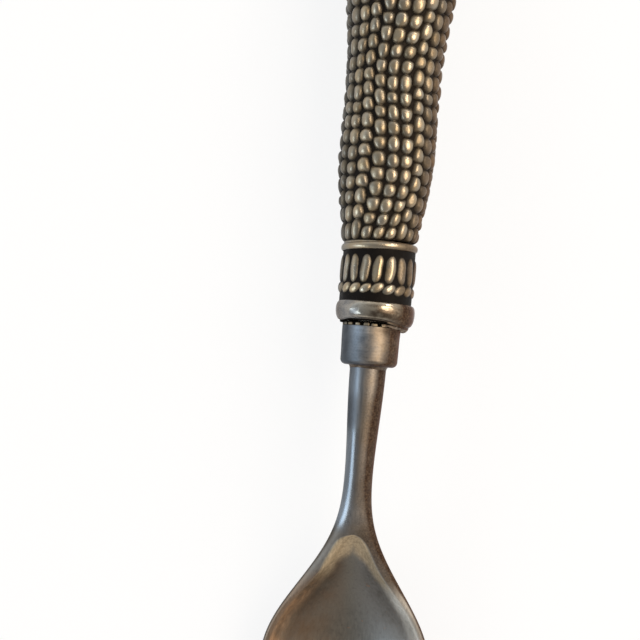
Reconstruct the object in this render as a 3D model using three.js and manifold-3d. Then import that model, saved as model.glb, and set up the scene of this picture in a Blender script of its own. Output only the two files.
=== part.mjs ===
// A table spoon with a corn-cob handle: a forged steel bowl and shank, whose tang runs up a cast handle.
// Millimetres. The spoon is first laid out along its handle axis: +Y runs from the bowl to the butt of the
// handle, +Z is the open side of the bowl, and y = 0 is the lower face of the ferrule. It is then tipped
// until it lies on z = 0, on the flat under the bowl and on the thick end of the cob.

import * as THREE from "three";
import { mergeVertices } from "three/addons/utils/BufferGeometryUtils.js";
import Module from "manifold-3d";

const wasm = await Module();
wasm.setup();

// Clearances
const bondLine = 0.15; // cement or solder film between two bonded faces
const seatGap = 0.25; // between the teeth and the collar, and under the cob's spigot

// Bowl. Stations are distances from the ferrule towards the tip of the bowl.
const bowlHalfWidth = 15.85;
const bowlWidestStation = 58.5;
const bowlTipLength = 21; // from the widest station to the tip
const bowlDepth = 7.1; // from the rim to the inside of the bowl
const bowlFullness = 1.0; // 1 gives a parabola's sides, and less makes them steeper
const rimHalfThickness = 0.68;
const rimWidth = 0.95; // from the outer edge to the hollow
const neckRimWidth = 2.0; // the same on the flare below the neck
const restFlatDepth = 0.2; // ground off the underside, so that the bowl stands flat

// Shank, from the ferrule down to the neck, where the hollow of the bowl begins
const shankTopRadius = 3.27;
const shankWaistRadius = 2.55;
const shankWaistHalfThickness = 2.35;
const shankWaistStation = 21;
const neckStation = 30.4;
const neckHalfWidth = 4.1;
const neckHalfThickness = 1.75;
const neckDrop = 2.3; // from the handle axis down to the middle of the neck
const bowlDrop = 9.6; // from the handle axis down to the rim at the widest station
const tipDrop = 8.9; // from the handle axis down to the tip of the rim

// Tang, which the cement grips
const tangRootRadius = 2.1;
const tangEndRadius = 1.6;
const tangLength = 60;
const tangPlainLength = 12; // below the first notch
const tangNotches = 3;
const tangNotchDepth = 0.45;
const tangNotchLength = 3;
const tangChamfer = 0.5;

// Ferrule, a cup that the shank is soldered into
const ferruleLength = 6.85;
const ferruleShoulder = 1.85; // from the shank out to the ferrule's lower end
const ferruleTaper = 0.15; // wider at its mouth by this much
const ferruleEdgeRound = 1.0;
const ferruleMouthRound = 0.25;
const ferruleWall = 0.8;
const ferruleFloor = 1.7;
const shankEntry = 1.4; // how far the shank goes into the floor of the ferrule
const solderHeight = 0.5;
const solderReach = 0.38;
const solderLand = 0.04; // left flat at each end of the fillet

// Toothed ring, a sleeve in the mouth of the ferrule with a crown of teeth over its edge
const crownStep = 0.2; // inside the ferrule's outer edge
const crownBase = 0.15;
const toothHeight = 0.45;
const toothCount = 20;
const toothShare = 0.65; // of one pitch
const sleeveDepth = 1.6;
const sleeveWall = 0.6;

// Collar: bulge, rope and flutes, one casting
const bandRadius = 6.5; // dark ground between the raised beads
const collarWall = 1.4; // from that ground in to the socket
const collarFloorLip = 1.2; // from the socket in to the hole for the tang
const bulgeLipStep = 0.3; // from the ground in to the lip under the bulge
const bulgeLipLength = 0.4;
const bulgeSwell = 0.62; // from the ground out to the crown of the bulge
const bulgeLength = 3.25;
const bulgeCrownShare = 0.52; // of its length, from the lip up to the crown
const bulgeShift = 0.4; // the bulge was turned a little off the handle axis
const bulgeLipEdge = 0.15; // chamfer under the lip
const bandFootStep = 0.1; // from the near side of the lip in to the foot of the band
const bandMargin = 0.8; // ground between the bulge and the rope
const ropeLength = 2.3;
const ropeCount = 19;
const ropeTurn = 5.8; // degrees from the top of the spoon round to the first bead
const ropeBeadHalfLength = 1.28;
const ropeBeadHalfWidth = 0.78;
const ropeLean = 54; // degrees from the handle axis
const fluteLength = 5.1;
const fluteCount = 18;
const fluteTurn = 4; // degrees from the top of the spoon round to the first flute
const fluteHalfWidth = 0.97;
const beadRelief = 0.42; // of the rope and the flutes over the ground
const beadSink = 0.25; // their centres lie this far under the ground
const bandTopMargin = 0.9; // ground between the flutes and the seam ring

// Seam ring over the joint of the collar and the cob
const seamRingWidth = 1.55;
const seamRingCrown = 0.55;

// Cob
const cobWall = 1.7; // under the kernels
const hollowEndRise = 3; // height of the end of the hollow
const hollowEndShare = 0.6; // how wide that end is, as a share of the hollow under it
const spigotWall = 1.3;
const spigotLength = 8;
const spigotChamfer = 0.3;
const kernelRelief = 1.0;
const kernelColumns = 21;
const kernelLength = 2.85; // along a column, where the cob has its reference radius
const kernelReferenceRadius = 8.7;
const kernelShoulder = 0.27; // from the groove in to the shoulder, as a share of the column
const crestDrop = 0.1; // from the outline down to the shoulder of a kernel, as a share of the relief
const saddleDrop = 0.65; // the same between two kernels of one column
const plumpness = 0.2; // how much kernels differ in height, as a share of the relief
const columnUnevenness = 0.14; // how much wider or narrower a column gets on its way, as a share
const columnWaveRows = 17; // kernels from one wide place to the next
const rowUnevenness = 0.7; // how far columns are out of step with each other, in kernels
const kernelUnevenness = 0.24; // how far single kernels are, in kernels
const evenRows = 1.5; // kernels over which the columns fall into step at each end
const buttHoleRadius = 2.3; // left by the core of the casting
const buttonLip = 1.2; // from the hole out to the edge of the button
const buttonRise = 1.7;
const buttonRim = 0.5;
const buttonSpigotLength = 2.2;

// Outside of the cob over the kernels: distance up from its shoulder, and how much wider it is than there.
const cobOutline = [
  [0, 0.2],
  [4, 0.86],
  [9.4, 1.66],
  [15, 2.02],
  [24.5, 1.9],
  [32, 2.05],
  [38.5, 2.55],
  [44.5, 3.3],
  [54, 4.25],
  [63, 4.6],
  [70.5, 3.7],
  [75.6, 1.6],
  [78.4, -1],
  [79.1, -3],
];

// How far the kernel columns wander round the cob: distance up from its shoulder, and degrees.
const columnWander = [
  [0, -12],
  [4, -5],
  [9, 1],
  [14, 2],
  [20, 0],
  [28, -6.5],
  [38, -2.5],
  [46, 0],
  [60, 4],
  [80, 6],
];

// Facets round the turned pieces
const collarFacets = 40;
const ringFacets = 32;
const coreFacets = 18;
const beadFacets = 8;
const ropeBeadRows = 5;

// Working values of the cuts, joins and fits
const cutMargin = 1; // cutting shapes run this far past the faces that they open
const joinDepth = 0.5; // joined shapes run this far into each other
const stoneThickness = 20;
const restingRounds = 12;

const steel = new THREE.MeshStandardMaterial({ color: 0x8b857c, roughness: 0.3, metalness: 1 });
const solderAlloy = new THREE.MeshStandardMaterial({ color: 0x6f665a, roughness: 0.5, metalness: 1 });
const pewter = new THREE.MeshStandardMaterial({ color: 0x8a7f6e, roughness: 0.35, metalness: 1 });
const cement = new THREE.MeshStandardMaterial({ color: 0xb9b2a4, roughness: 0.9, metalness: 0 });

// Natural cubic spline through [x, y] points, x rising, held level beyond both ends.
function spline(points) {
  const xs = points.map((p) => p[0]);
  const ys = points.map((p) => p[1]);
  const last = xs.length - 1;
  const bend = new Array(last + 1).fill(0);
  const carry = new Array(last + 1).fill(0);
  for (let i = 1; i < last; i++) {
    const before = xs[i] - xs[i - 1];
    const after = xs[i + 1] - xs[i];
    const turn = (ys[i + 1] - ys[i]) / after - (ys[i] - ys[i - 1]) / before;
    const pivot = 2 * (before + after) - before * carry[i - 1];
    carry[i] = after / pivot;
    bend[i] = (6 * turn - before * bend[i - 1]) / pivot;
  }
  for (let i = last - 1; i > 0; i--) bend[i] -= carry[i] * bend[i + 1];
  return (x) => {
    if (x <= xs[0]) return ys[0];
    if (x >= xs[last]) return ys[last];
    let i = 0;
    while (x > xs[i + 1]) i++;
    const width = xs[i + 1] - xs[i];
    const a = (xs[i + 1] - x) / width;
    const b = (x - xs[i]) / width;
    const cubic = ((a ** 3 - a) * bend[i] + (b ** 3 - b) * bend[i + 1]) * (width * width) / 6;
    return a * ys[i] + b * ys[i + 1] + cubic;
  };
}

const mix = (a, b, t) => a + (b - a) * t;

function smoothStep(from, to, x) {
  const t = Math.min(1, Math.max(0, (x - from) / (to - from)));
  return t * t * (3 - 2 * t);
}

// A repeatable number from 0 to 1 for a column and a row of kernels.
function scatter(column, row) {
  const wave = Math.sin(column * 12.9898 + row * 78.233) * 43758.5453;
  return wave - Math.floor(wave);
}

function solidOf(geometry) {
  const bare = geometry.clone();
  bare.deleteAttribute("normal");
  bare.deleteAttribute("uv");
  const merged = mergeVertices(bare, 1e-4);
  return new wasm.Manifold(
    new wasm.Mesh({
      numProp: 3,
      vertProperties: merged.attributes.position.array,
      triVerts: new Uint32Array(merged.index.array),
    }),
  );
}

function geometryOf(solid) {
  const mesh = solid.getMesh();
  const geometry = new THREE.BufferGeometry();
  geometry.setAttribute("position", new THREE.BufferAttribute(mesh.vertProperties, 3));
  geometry.setIndex(new THREE.BufferAttribute(mesh.triVerts, 1));
  geometry.computeVertexNormals();
  return geometry;
}

// A body turned round the handle axis from [radius, y] points, listed up the outside and down the inside.
function turnedGeometry(profile, facets) {
  const closed = profile[0][0] < 1e-6 ? profile : [...profile, profile[0]];
  const points = closed.map(([radius, y]) => new THREE.Vector2(radius, y));
  return new THREE.LatheGeometry(points, facets);
}

const turned = (profile, facets) => solidOf(turnedGeometry(profile, facets));

// Points on a quarter ellipse in a profile, from one angle to another, in degrees.
function arc(centre, radii, from, to, steps = 4) {
  const points = [];
  for (let i = 0; i <= steps; i++) {
    const angle = THREE.MathUtils.degToRad(mix(from, to, i / steps));
    points.push([centre[0] + radii[0] * Math.cos(angle), centre[1] + radii[1] * Math.sin(angle)]);
  }
  return points;
}

function namedMesh(name, solid, material) {
  const mesh = new THREE.Mesh(geometryOf(solid), material);
  mesh.name = name;
  return mesh;
}

// Places along the handle axis, each from the one below it
const crownStart = ferruleLength + bondLine;
const collarStart = crownStart + crownBase + toothHeight + seatGap;
const bulgeEnd = collarStart + bulgeLipLength + bulgeLength;
const ropeStart = bulgeEnd + bandMargin;
const fluteStart = ropeStart + ropeLength;
const seamRingStart = fluteStart + fluteLength + bandTopMargin;
const cobStart = seamRingStart + seamRingWidth;
const cobEnd = cobStart + cobOutline[cobOutline.length - 1][0];
const bowlTip = bowlWidestStation + bowlTipLength;

// Radii that more than one piece uses
const ferruleBottomRadius = shankTopRadius + ferruleShoulder;
const ferruleTopRadius = ferruleBottomRadius + ferruleTaper;
const ferruleBore = ferruleTopRadius - ferruleWall;
const socketRadius = bandRadius - collarWall;
const collarBore = socketRadius - collarFloorLip;
const spigotRadius = socketRadius - bondLine;
const spigotBore = spigotRadius - spigotWall;
const beadedRadius = bandRadius + beadRelief; // flutes, seam ring and the cob's shoulder lie flush
const bulgeLipRadius = bandRadius - bulgeLipStep;
const bandFootRadius = bulgeLipRadius - bulgeShift - bandFootStep; // the lip lies off its axis

// Bowl and shank

// A station part of the way from the neck to the widest place of the bowl.
const flareStation = (share) => mix(neckStation, bowlWidestStation, share);

// Half-width of the outline, by station from the ferrule, down to the widest station.
const outlineHalfWidth = spline([
  [-shankEntry, shankTopRadius],
  [0, shankTopRadius],
  [0.5 * shankWaistStation, mix(shankTopRadius, shankWaistRadius, 0.52)],
  [shankWaistStation, shankWaistRadius],
  [mix(shankWaistStation, neckStation, 0.5), mix(shankWaistRadius, neckHalfWidth, 0.23)],
  [neckStation, neckHalfWidth],
  [flareStation(0.18), mix(neckHalfWidth, bowlHalfWidth, 0.204)],
  [flareStation(0.375), mix(neckHalfWidth, bowlHalfWidth, 0.493)],
  [flareStation(0.57), mix(neckHalfWidth, bowlHalfWidth, 0.773)],
  [flareStation(0.75), mix(neckHalfWidth, bowlHalfWidth, 0.943)],
  [bowlWidestStation, bowlHalfWidth],
]);

// How far the middle of the metal lies under the handle axis: down the shank and on along the rim.
const rimDrop = spline([
  [0, 0],
  [0.5 * shankWaistStation, 0],
  [shankWaistStation, 0.15 * neckDrop],
  [neckStation, neckDrop],
  [flareStation(0.27), mix(neckDrop, bowlDrop, 0.37)],
  [flareStation(0.6), mix(neckDrop, bowlDrop, 0.77)],
  [bowlWidestStation, bowlDrop],
  [mix(bowlWidestStation, bowlTip, 0.5), mix(bowlDrop, tipDrop, 0.2)],
  [bowlTip, tipDrop],
]);

const halfThickness = spline([
  [-shankEntry, shankTopRadius],
  [0, shankTopRadius],
  [0.5 * shankWaistStation, mix(shankTopRadius, shankWaistHalfThickness, 0.5)],
  [shankWaistStation, shankWaistHalfThickness],
  [neckStation, neckHalfThickness],
  [flareStation(0.27), mix(neckHalfThickness, rimHalfThickness, 0.6)],
  [flareStation(0.55), mix(neckHalfThickness, rimHalfThickness, 0.9)],
  [bowlWidestStation, rimHalfThickness],
  [bowlTip, rimHalfThickness],
]);

// Depth of the hollow on the centre line, and how far the underside bulges below the rim there.
const hollowDepth = spline([
  [neckStation, 0],
  [flareStation(0.07), 0.17 * bowlDepth],
  [flareStation(0.18), 0.38 * bowlDepth],
  [flareStation(0.36), 0.67 * bowlDepth],
  [flareStation(0.61), 0.9 * bowlDepth],
  [bowlWidestStation, bowlDepth],
]);
const undersideDepth = spline([
  [mix(shankWaistStation, neckStation, 0.2), 0],
  [mix(shankWaistStation, neckStation, 0.6), 0.05 * bowlDepth],
  [neckStation, 0.18 * bowlDepth],
  [flareStation(0.18), 0.42 * bowlDepth],
  [flareStation(0.36), 0.67 * bowlDepth],
  [flareStation(0.61), 0.9 * bowlDepth],
  [bowlWidestStation, bowlDepth],
]);

// Width of the rim outside the hollow, by the square root of the share of the flare: this rounds the point
// of the hollow at the neck, where the rim takes the whole half-width.
const rimReach = spline([
  [0, neckHalfWidth],
  [0.13, mix(neckRimWidth, neckHalfWidth, 0.38)],
  [0.22, mix(neckRimWidth, neckHalfWidth, 0.1)],
  [0.33, neckRimWidth],
  [0.52, neckRimWidth],
  [0.65, mix(neckRimWidth, rimWidth, 0.55)],
  [0.77, rimWidth],
]);

function hollowEdge(ray) {
  const share = (ray.station - neckStation) / (bowlWidestStation - neckStation);
  const reach = rimReach(Math.sqrt(Math.max(0, share)));
  return Math.max(0, ray.length - reach);
}

const shankSteps = 4; // rays from the ferrule to the waist
const neckSteps = 3; // from the waist to the neck
const flareSteps = 12; // from the neck to the widest station
const fanSteps = 11; // round the tip
const raySteps = 9; // points from the centre line to the edge
const creaseSteps = 5; // of these, as far as the edge of the hollow
const shankCrease = 0.36; // where that edge lies on the shank, as a share of the half-width
const bendPower = 1.6; // crowds the rays of the flare towards the neck

// Each ray runs from the centre line out to the edge. Down to the fan they lie square to the axis; from
// there their roots close up, so that they spread round the tip.
function headRays() {
  const rays = [];
  const fanStart = flareStation(0.5);
  const fanRoot = mix(bowlWidestStation, bowlTip, 0.17);
  const root = (station) => {
    if (station <= fanStart) return station;
    const share = (station - fanStart) / (bowlTip - fanStart);
    const reach = fanRoot - fanStart;
    return fanStart + reach * (1 - (1 - share) ** ((bowlTip - fanStart) / reach));
  };
  const add = (station, halfWidth) => {
    const at = root(station);
    rays.push({ root: at, station, halfWidth, length: Math.hypot(halfWidth, station - at) });
  };
  add(-shankEntry, shankTopRadius);
  for (let i = 0; i < shankSteps; i++) {
    const station = shankWaistStation * (i / shankSteps);
    add(station, outlineHalfWidth(station));
  }
  for (let i = 0; i < neckSteps; i++) {
    const station = mix(shankWaistStation, neckStation, i / neckSteps);
    add(station, outlineHalfWidth(station));
  }
  for (let i = 0; i < flareSteps; i++) {
    const station = flareStation((i / flareSteps) ** bendPower);
    add(station, outlineHalfWidth(station));
  }
  for (let i = 0; i <= fanSteps; i++) {
    const angle = (Math.PI / 2) * (i / fanSteps);
    const halfWidth = i === fanSteps ? 0 : bowlHalfWidth * Math.cos(angle);
    add(bowlWidestStation + bowlTipLength * Math.sin(angle), halfWidth);
  }
  return rays;
}

// Points of one ray, over the top from the centre line to the edge and back underneath: [x, y, z].
function rayPoints(ray) {
  const half = halfThickness(ray.station);
  const thinning = smoothStep(mix(shankWaistStation, neckStation, 0.5), flareStation(0.55), ray.station);
  const edgeRound = mix(ray.length, half, thinning);
  const inner = hollowEdge(ray);
  const crease = Math.max(inner, shankCrease * ray.length);
  const reachAt = (step) => {
    if (step <= creaseSteps) return crease * Math.sin((Math.PI / 2) * (step / creaseSteps));
    const share = (step - creaseSteps) / (raySteps - creaseSteps);
    return mix(crease, ray.length, Math.sin((Math.PI / 2) * share));
  };
  const point = (step, side) => {
    const reach = step === raySteps ? ray.length : reachAt(step);
    const along = ray.length > 0 ? reach / ray.length : 0;
    const station = mix(ray.root, ray.station, along);
    const fromEdge = Math.min(ray.length - reach, edgeRound) / edgeRound;
    const shell = half * Math.sqrt(Math.max(0, 1 - (1 - fromEdge) ** 2));
    const limit = side > 0 ? inner : ray.length;
    const depth = side > 0 ? hollowDepth(ray.root) : undersideDepth(ray.root);
    const bowl = limit > 0 ? Math.max(0, 1 - (reach / limit) ** 2) ** bowlFullness : 0;
    const height = -rimDrop(station) + side * shell - Math.max(0, depth) * bowl;
    return [ray.halfWidth * along, -station, height];
  };
  const points = [];
  for (let step = 0; step <= raySteps; step++) points.push(point(step, 1));
  for (let step = raySteps - 1; step >= 0; step--) points.push(point(step, -1));
  return points;
}

// Adds a point to a list of coordinates and gives its number.
function addPoint(positions, point) {
  positions.push(...point);
  return positions.length / 3 - 1;
}

function skinGeometry(positions, faces) {
  const geometry = new THREE.BufferGeometry();
  geometry.setAttribute("position", new THREE.Float32BufferAttribute(positions, 3));
  geometry.setIndex(faces);
  return geometry;
}

// The bowl and the shank as one closed skin: a right half, its mirror, and a cap inside the ferrule.
function headSkin() {
  const rays = headRays().map(rayPoints);
  const ring = rays[0].length;
  const positions = [];
  const faces = [];
  const right = rays.map((points) => points.map((point) => addPoint(positions, point)));
  const left = rays.map((points, i) =>
    points.map((point, k) => {
      const shared = k === 0 || k === ring - 1 || i === rays.length - 1;
      return shared ? right[i][k] : addPoint(positions, [-point[0], point[1], point[2]]);
    }),
  );
  const quad = (a, b, c, d) => faces.push(a, b, c, a, c, d);
  for (let i = 0; i + 1 < rays.length; i++) {
    for (let k = 0; k + 1 < ring; k++) {
      quad(right[i][k], right[i + 1][k], right[i + 1][k + 1], right[i][k + 1]);
      quad(left[i][k], left[i][k + 1], left[i + 1][k + 1], left[i + 1][k]);
    }
  }
  const hub = addPoint(positions, [0, shankEntry, 0]);
  for (let k = 0; k + 1 < ring; k++) {
    faces.push(hub, right[0][k], right[0][k + 1]);
    faces.push(hub, left[0][k + 1], left[0][k]);
  }
  return skinGeometry(positions, faces);
}

// The tang tapers and has notches turned into it that key it to the cement.
function tang() {
  const root = shankEntry;
  const end = root + tangLength;
  const radiusAt = (y) => mix(tangRootRadius, tangEndRadius, (y - root) / tangLength);
  const profile = [[0, 0], [tangRootRadius, 0], [tangRootRadius, root]];
  for (let i = 0; i < tangNotches; i++) {
    const low = mix(root + tangPlainLength, end, i / tangNotches);
    const high = low + tangNotchLength;
    profile.push([radiusAt(low), low]);
    profile.push([radiusAt(low) - tangNotchDepth, low + tangNotchDepth]);
    profile.push([radiusAt(high) - tangNotchDepth, high - tangNotchDepth]);
    profile.push([radiusAt(high), high]);
  }
  profile.push([tangEndRadius, end - tangChamfer], [tangEndRadius - tangChamfer, end], [0, end]);
  return turned(profile, coreFacets);
}

function bowlAndShank() {
  return solidOf(headSkin()).add(tang());
}

// Ferrule and its solder

function ferrule() {
  const hole = shankTopRadius + bondLine;
  const edge = ferruleEdgeRound;
  return turned([
    [hole, 0],
    ...arc([ferruleBottomRadius - edge, edge], [edge, edge], -90, 0),
    ...arc([ferruleTopRadius - ferruleMouthRound, ferruleLength - ferruleMouthRound],
      [ferruleMouthRound, ferruleMouthRound], 0, 90, 2),
    [ferruleBore, ferruleLength],
    [ferruleBore, ferruleFloor],
    [hole, ferruleFloor],
  ], collarFacets);
}

// The solder fills the corner between the shank and the ferrule with a hollow fillet.
function ferruleSolder() {
  const inner = shankTopRadius + bondLine;
  const outer = inner + solderReach;
  const top = -bondLine;
  const bottom = top - solderHeight;
  return turned([
    [inner, bottom],
    ...arc([outer, bottom], [solderReach - solderLand, solderHeight - solderLand], 180, 90, 3),
    [outer, top],
    [inner, top],
  ], ringFacets);
}

// Toothed ring

function toothedRing() {
  const outer = ferruleTopRadius - crownStep;
  const sleeve = ferruleBore - bondLine;
  const inner = sleeve - sleeveWall;
  const top = crownStart + crownBase + toothHeight;
  let ring = turned([
    [inner, ferruleLength - sleeveDepth],
    [sleeve, ferruleLength - sleeveDepth],
    [sleeve, crownStart],
    [outer, crownStart],
    [outer, top],
    [inner, top],
  ], toothCount * 2);
  const gapWidth = (2 * Math.PI * outer * (1 - toothShare)) / toothCount;
  for (let i = 0; i < toothCount; i++) {
    const notch = new THREE.BoxGeometry(gapWidth, 2 * toothHeight, 2 * (outer - inner));
    notch.translate(0, top, (outer + inner) / 2);
    notch.rotateY((2 * Math.PI * i) / toothCount);
    ring = ring.subtract(solidOf(notch));
  }
  return ring;
}

// Collar

// Sets a bead that stands along the handle axis into the ground of the band, leaning by an angle.
function setBead(shape, halfWidth, y, lean, turn) {
  shape.scale(1, 1, (beadRelief + beadSink) / halfWidth);
  shape.rotateZ(-lean);
  shape.translate(0, y, bandRadius - beadSink);
  shape.rotateY(turn);
  return solidOf(shape);
}

function fluteShape() {
  const straight = fluteLength / 2 - fluteHalfWidth;
  const cap = [fluteHalfWidth, fluteHalfWidth];
  const low = arc([0, -straight], cap, -45, 0, 1);
  const high = arc([0, straight], cap, 0, 45, 1);
  return turnedGeometry([[0, -fluteLength / 2], ...low, ...high, [0, fluteLength / 2]], beadFacets);
}

function ropeBeadShape() {
  const shape = new THREE.SphereGeometry(1, beadFacets, ropeBeadRows);
  shape.scale(ropeBeadHalfWidth, ropeBeadHalfLength, ropeBeadHalfWidth);
  return shape;
}

function beads() {
  const lean = THREE.MathUtils.degToRad(ropeLean);
  const solids = [];
  for (let i = 0; i < ropeCount; i++) {
    const turn = THREE.MathUtils.degToRad(ropeTurn + (360 * i) / ropeCount);
    solids.push(setBead(ropeBeadShape(), ropeBeadHalfWidth, ropeStart + ropeLength / 2, lean, turn));
  }
  for (let i = 0; i < fluteCount; i++) {
    const turn = THREE.MathUtils.degToRad(fluteTurn + (360 * i) / fluteCount);
    solids.push(setBead(fluteShape(), fluteHalfWidth, fluteStart + fluteLength / 2, 0, turn));
  }
  return solids;
}

// The bulge and its lip, off the handle axis. Its hole ends in the wall of the band's tube, which fills it.
function bulge() {
  const hole = (collarBore + bandFootRadius) / 2;
  const lip = bulgeLipRadius;
  const low = collarStart + bulgeLipLength;
  const crown = low + bulgeCrownShare * bulgeLength;
  const shape = turnedGeometry([
    [hole, collarStart],
    [lip - bulgeLipEdge, collarStart],
    [lip, collarStart + bulgeLipEdge],
    [lip, low],
    ...arc([lip, crown], [bulgeLipStep + bulgeSwell, crown - low], -75, 0, 4),
    ...arc([bandRadius, crown], [bulgeSwell, bulgeEnd - crown], 22.5, 90, 3),
    [hole, bulgeEnd],
  ], collarFacets);
  shape.translate(bulgeShift, 0, 0);
  return solidOf(shape);
}

// The tube of the band with its socket, then the bulge and the beads on it.
function collar() {
  const socketFloor = cobStart - spigotLength - seatGap;
  const shoulder = collarStart + bulgeLipLength;
  const band = turned([
    [collarBore, collarStart],
    [bandFootRadius, collarStart],
    [bandFootRadius, shoulder],
    [bandRadius, shoulder + 0.5 * bulgeLength],
    [bandRadius, seamRingStart],
    [socketRadius, seamRingStart],
    [socketRadius, socketFloor],
    [collarBore, socketFloor],
  ], collarFacets);
  return beads().reduce((joined, bead) => joined.add(bead), band.add(bulge()));
}

function seamRing() {
  const low = seamRingStart + bondLine;
  const high = cobStart - bondLine;
  const base = beadedRadius - seamRingCrown;
  return turned([
    [socketRadius, low],
    [base, low],
    ...arc([base, (low + high) / 2], [seamRingCrown, (high - low) / 2], -60, 60, 4),
    [base, high],
    [socketRadius, high],
  ], ringFacets);
}

// Cob

const cobCurve = new THREE.SplineCurve(
  cobOutline.map(([up, growth]) => new THREE.Vector2(up, beadedRadius + growth)),
);
const wander = spline(columnWander);

// Samples along the outline, each with the count of kernel rows passed so far.
function meridianSamples() {
  const samples = [];
  let rows = 0;
  let before = null;
  for (const point of cobCurve.getSpacedPoints(400)) {
    if (before) {
      const size = kernelLength * Math.sqrt((point.y + before.y) / 2 / kernelReferenceRadius);
      rows += point.distanceTo(before) / size;
    }
    samples.push({ rows, up: point.x, radius: point.y });
    before = point;
  }
  return samples;
}

const meridian = meridianSamples();
const kernelRows = Math.round(meridian[meridian.length - 1].rows);

// Point of the outline at a kernel row, which may be a fraction.
function outlineAt(row) {
  const target = (row / kernelRows) * meridian[meridian.length - 1].rows;
  let i = 1;
  while (i < meridian.length - 1 && meridian[i].rows < target) i++;
  const low = meridian[i - 1];
  const high = meridian[i];
  const share = Math.min(1, Math.max(0, (target - low.rows) / (high.rows - low.rows)));
  const slope = Math.atan2(high.radius - low.radius, high.up - low.up);
  return { up: mix(low.up, high.up, share), radius: mix(low.radius, high.radius, share), slope };
}

// Angle of the groove at the left of a column, in radians. The columns share out the girth, and each one
// widens and narrows in a wave of its own.
function grooveAngle(column, row) {
  let before = 0;
  let girth = 0;
  for (let other = 0; other < kernelColumns; other++) {
    const wave = Math.sin(2 * Math.PI * (row / columnWaveRows + scatter(other, 3)));
    const width = 1 + columnUnevenness * wave;
    if (other < column) before += width;
    girth += width;
  }
  return (2 * Math.PI * before) / girth + THREE.MathUtils.degToRad(wander(outlineAt(row).up));
}

// How far the end of a kernel slides along its column from the even row lines, in kernels.
function rowSlide(column, row) {
  const inside = Math.min(1, row / evenRows, (kernelRows - row) / evenRows);
  const ownStep = (scatter(column, 7) - 0.5) * rowUnevenness;
  return inside * (ownStep + (scatter(column, row + 20) - 0.5) * kernelUnevenness);
}

// A point that lies deeper than the outline by a drop, square to it.
function cobPoint(angle, at, drop) {
  const radius = at.radius - drop * Math.cos(at.slope);
  const y = cobStart + at.up + drop * Math.sin(at.slope);
  return [radius * Math.sin(angle), y, radius * Math.cos(angle)];
}

// One ring of the skin, through the crests of a row or through the low place between two rows. Each column
// gives three points: the groove at its left, and the two shoulders of its kernel.
function cobRing(step, positions) {
  const row = step / 2;
  const crest = step % 2 === 1;
  const slide = (column) => (rowSlide(column, Math.floor(row)) + rowSlide(column, Math.ceil(row))) / 2;
  const ring = [];
  for (let column = 0; column < kernelColumns; column++) {
    const previous = (column + kernelColumns - 1) % kernelColumns;
    const left = grooveAngle(column, row);
    const width = grooveAngle(column + 1, row) - left;
    const groove = outlineAt(row + (slide(column) + slide(previous)) / 2);
    const kernel = outlineAt(row + slide(column));
    const plump = (scatter(column, row + 50) - 0.5) * plumpness;
    const drop = (crest ? crestDrop + plump : saddleDrop) * kernelRelief;
    ring.push(addPoint(positions, cobPoint(left, groove, kernelRelief)));
    ring.push(addPoint(positions, cobPoint(left + kernelShoulder * width, kernel, drop)));
    ring.push(addPoint(positions, cobPoint(left + (1 - kernelShoulder) * width, kernel, drop)));
  }
  return ring;
}

// The kernelled outside of the cob as a closed skin, with a flat cap at each end.
function cobSkin() {
  const positions = [];
  const faces = [];
  const rings = [];
  for (let step = 0; step <= 2 * kernelRows; step++) rings.push(cobRing(step, positions));
  const low = addPoint(positions, [0, cobStart, 0]);
  const high = addPoint(positions, [0, cobEnd, 0]);
  const lastRing = rings[rings.length - 1];
  for (let k = 0; k < lastRing.length; k++) {
    const next = (k + 1) % lastRing.length;
    faces.push(low, rings[0][next], rings[0][k]);
    faces.push(high, lastRing[k], lastRing[next]);
    for (let i = 0; i + 1 < rings.length; i++) {
      faces.push(rings[i][k], rings[i][next], rings[i + 1][k]);
      faces.push(rings[i][next], rings[i + 1][next], rings[i + 1][k]);
    }
  }
  return skinGeometry(positions, faces);
}

// The hollow of the cob keeps the wall under the kernels and ends where the butt closes in.
const hollowSides = cobOutline.slice(1, -3).map(([up, growth]) => ({
  up,
  radius: beadedRadius + growth - kernelRelief - cobWall,
}));
const hollowEnd = hollowSides[hollowSides.length - 1];

// The hollow inside the handle, as a profile shrunk by a gap. The cement fills it, so both share it.
function hollowProfile(gap) {
  const top = cobStart + hollowEnd.up + hollowEndRise - gap;
  return [
    [spigotBore - gap, cobStart],
    ...hollowSides.map(({ up, radius }) => [radius - gap, cobStart + up]),
    [hollowEndShare * hollowEnd.radius, top],
    [0, top],
  ];
}

function cob() {
  const spigotEnd = cobStart - spigotLength;
  const below = spigotEnd - cutMargin;
  const beyond = cobEnd + cutMargin;
  const holeStart = cobStart + hollowEnd.up;
  const spigot = turned([
    [0, spigotEnd],
    [spigotRadius - spigotChamfer, spigotEnd],
    [spigotRadius, spigotEnd + spigotChamfer],
    [spigotRadius, cobStart + joinDepth],
    [0, cobStart + joinDepth],
  ], ringFacets);
  const hollow = turned([[0, below], [spigotBore, below], ...hollowProfile(0)], coreFacets);
  const buttHole = turned([
    [0, holeStart],
    [buttHoleRadius, holeStart],
    [buttHoleRadius, beyond],
    [0, beyond],
  ], coreFacets);
  return solidOf(cobSkin()).add(spigot).subtract(hollow).subtract(buttHole);
}

// A domed button closes the hole in the butt.
function endButton() {
  const seat = cobEnd + bondLine;
  const spigot = buttHoleRadius - bondLine;
  const radius = buttHoleRadius + buttonLip;
  return turned([
    [0, seat - buttonSpigotLength],
    [spigot, seat - buttonSpigotLength],
    [spigot, seat],
    [radius, seat],
    [radius, seat + buttonRim],
    ...arc([0, seat + buttonRim], [radius, buttonRise - buttonRim], 15, 75, 3),
    [0, seat + buttonRise],
  ], coreFacets);
}

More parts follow.
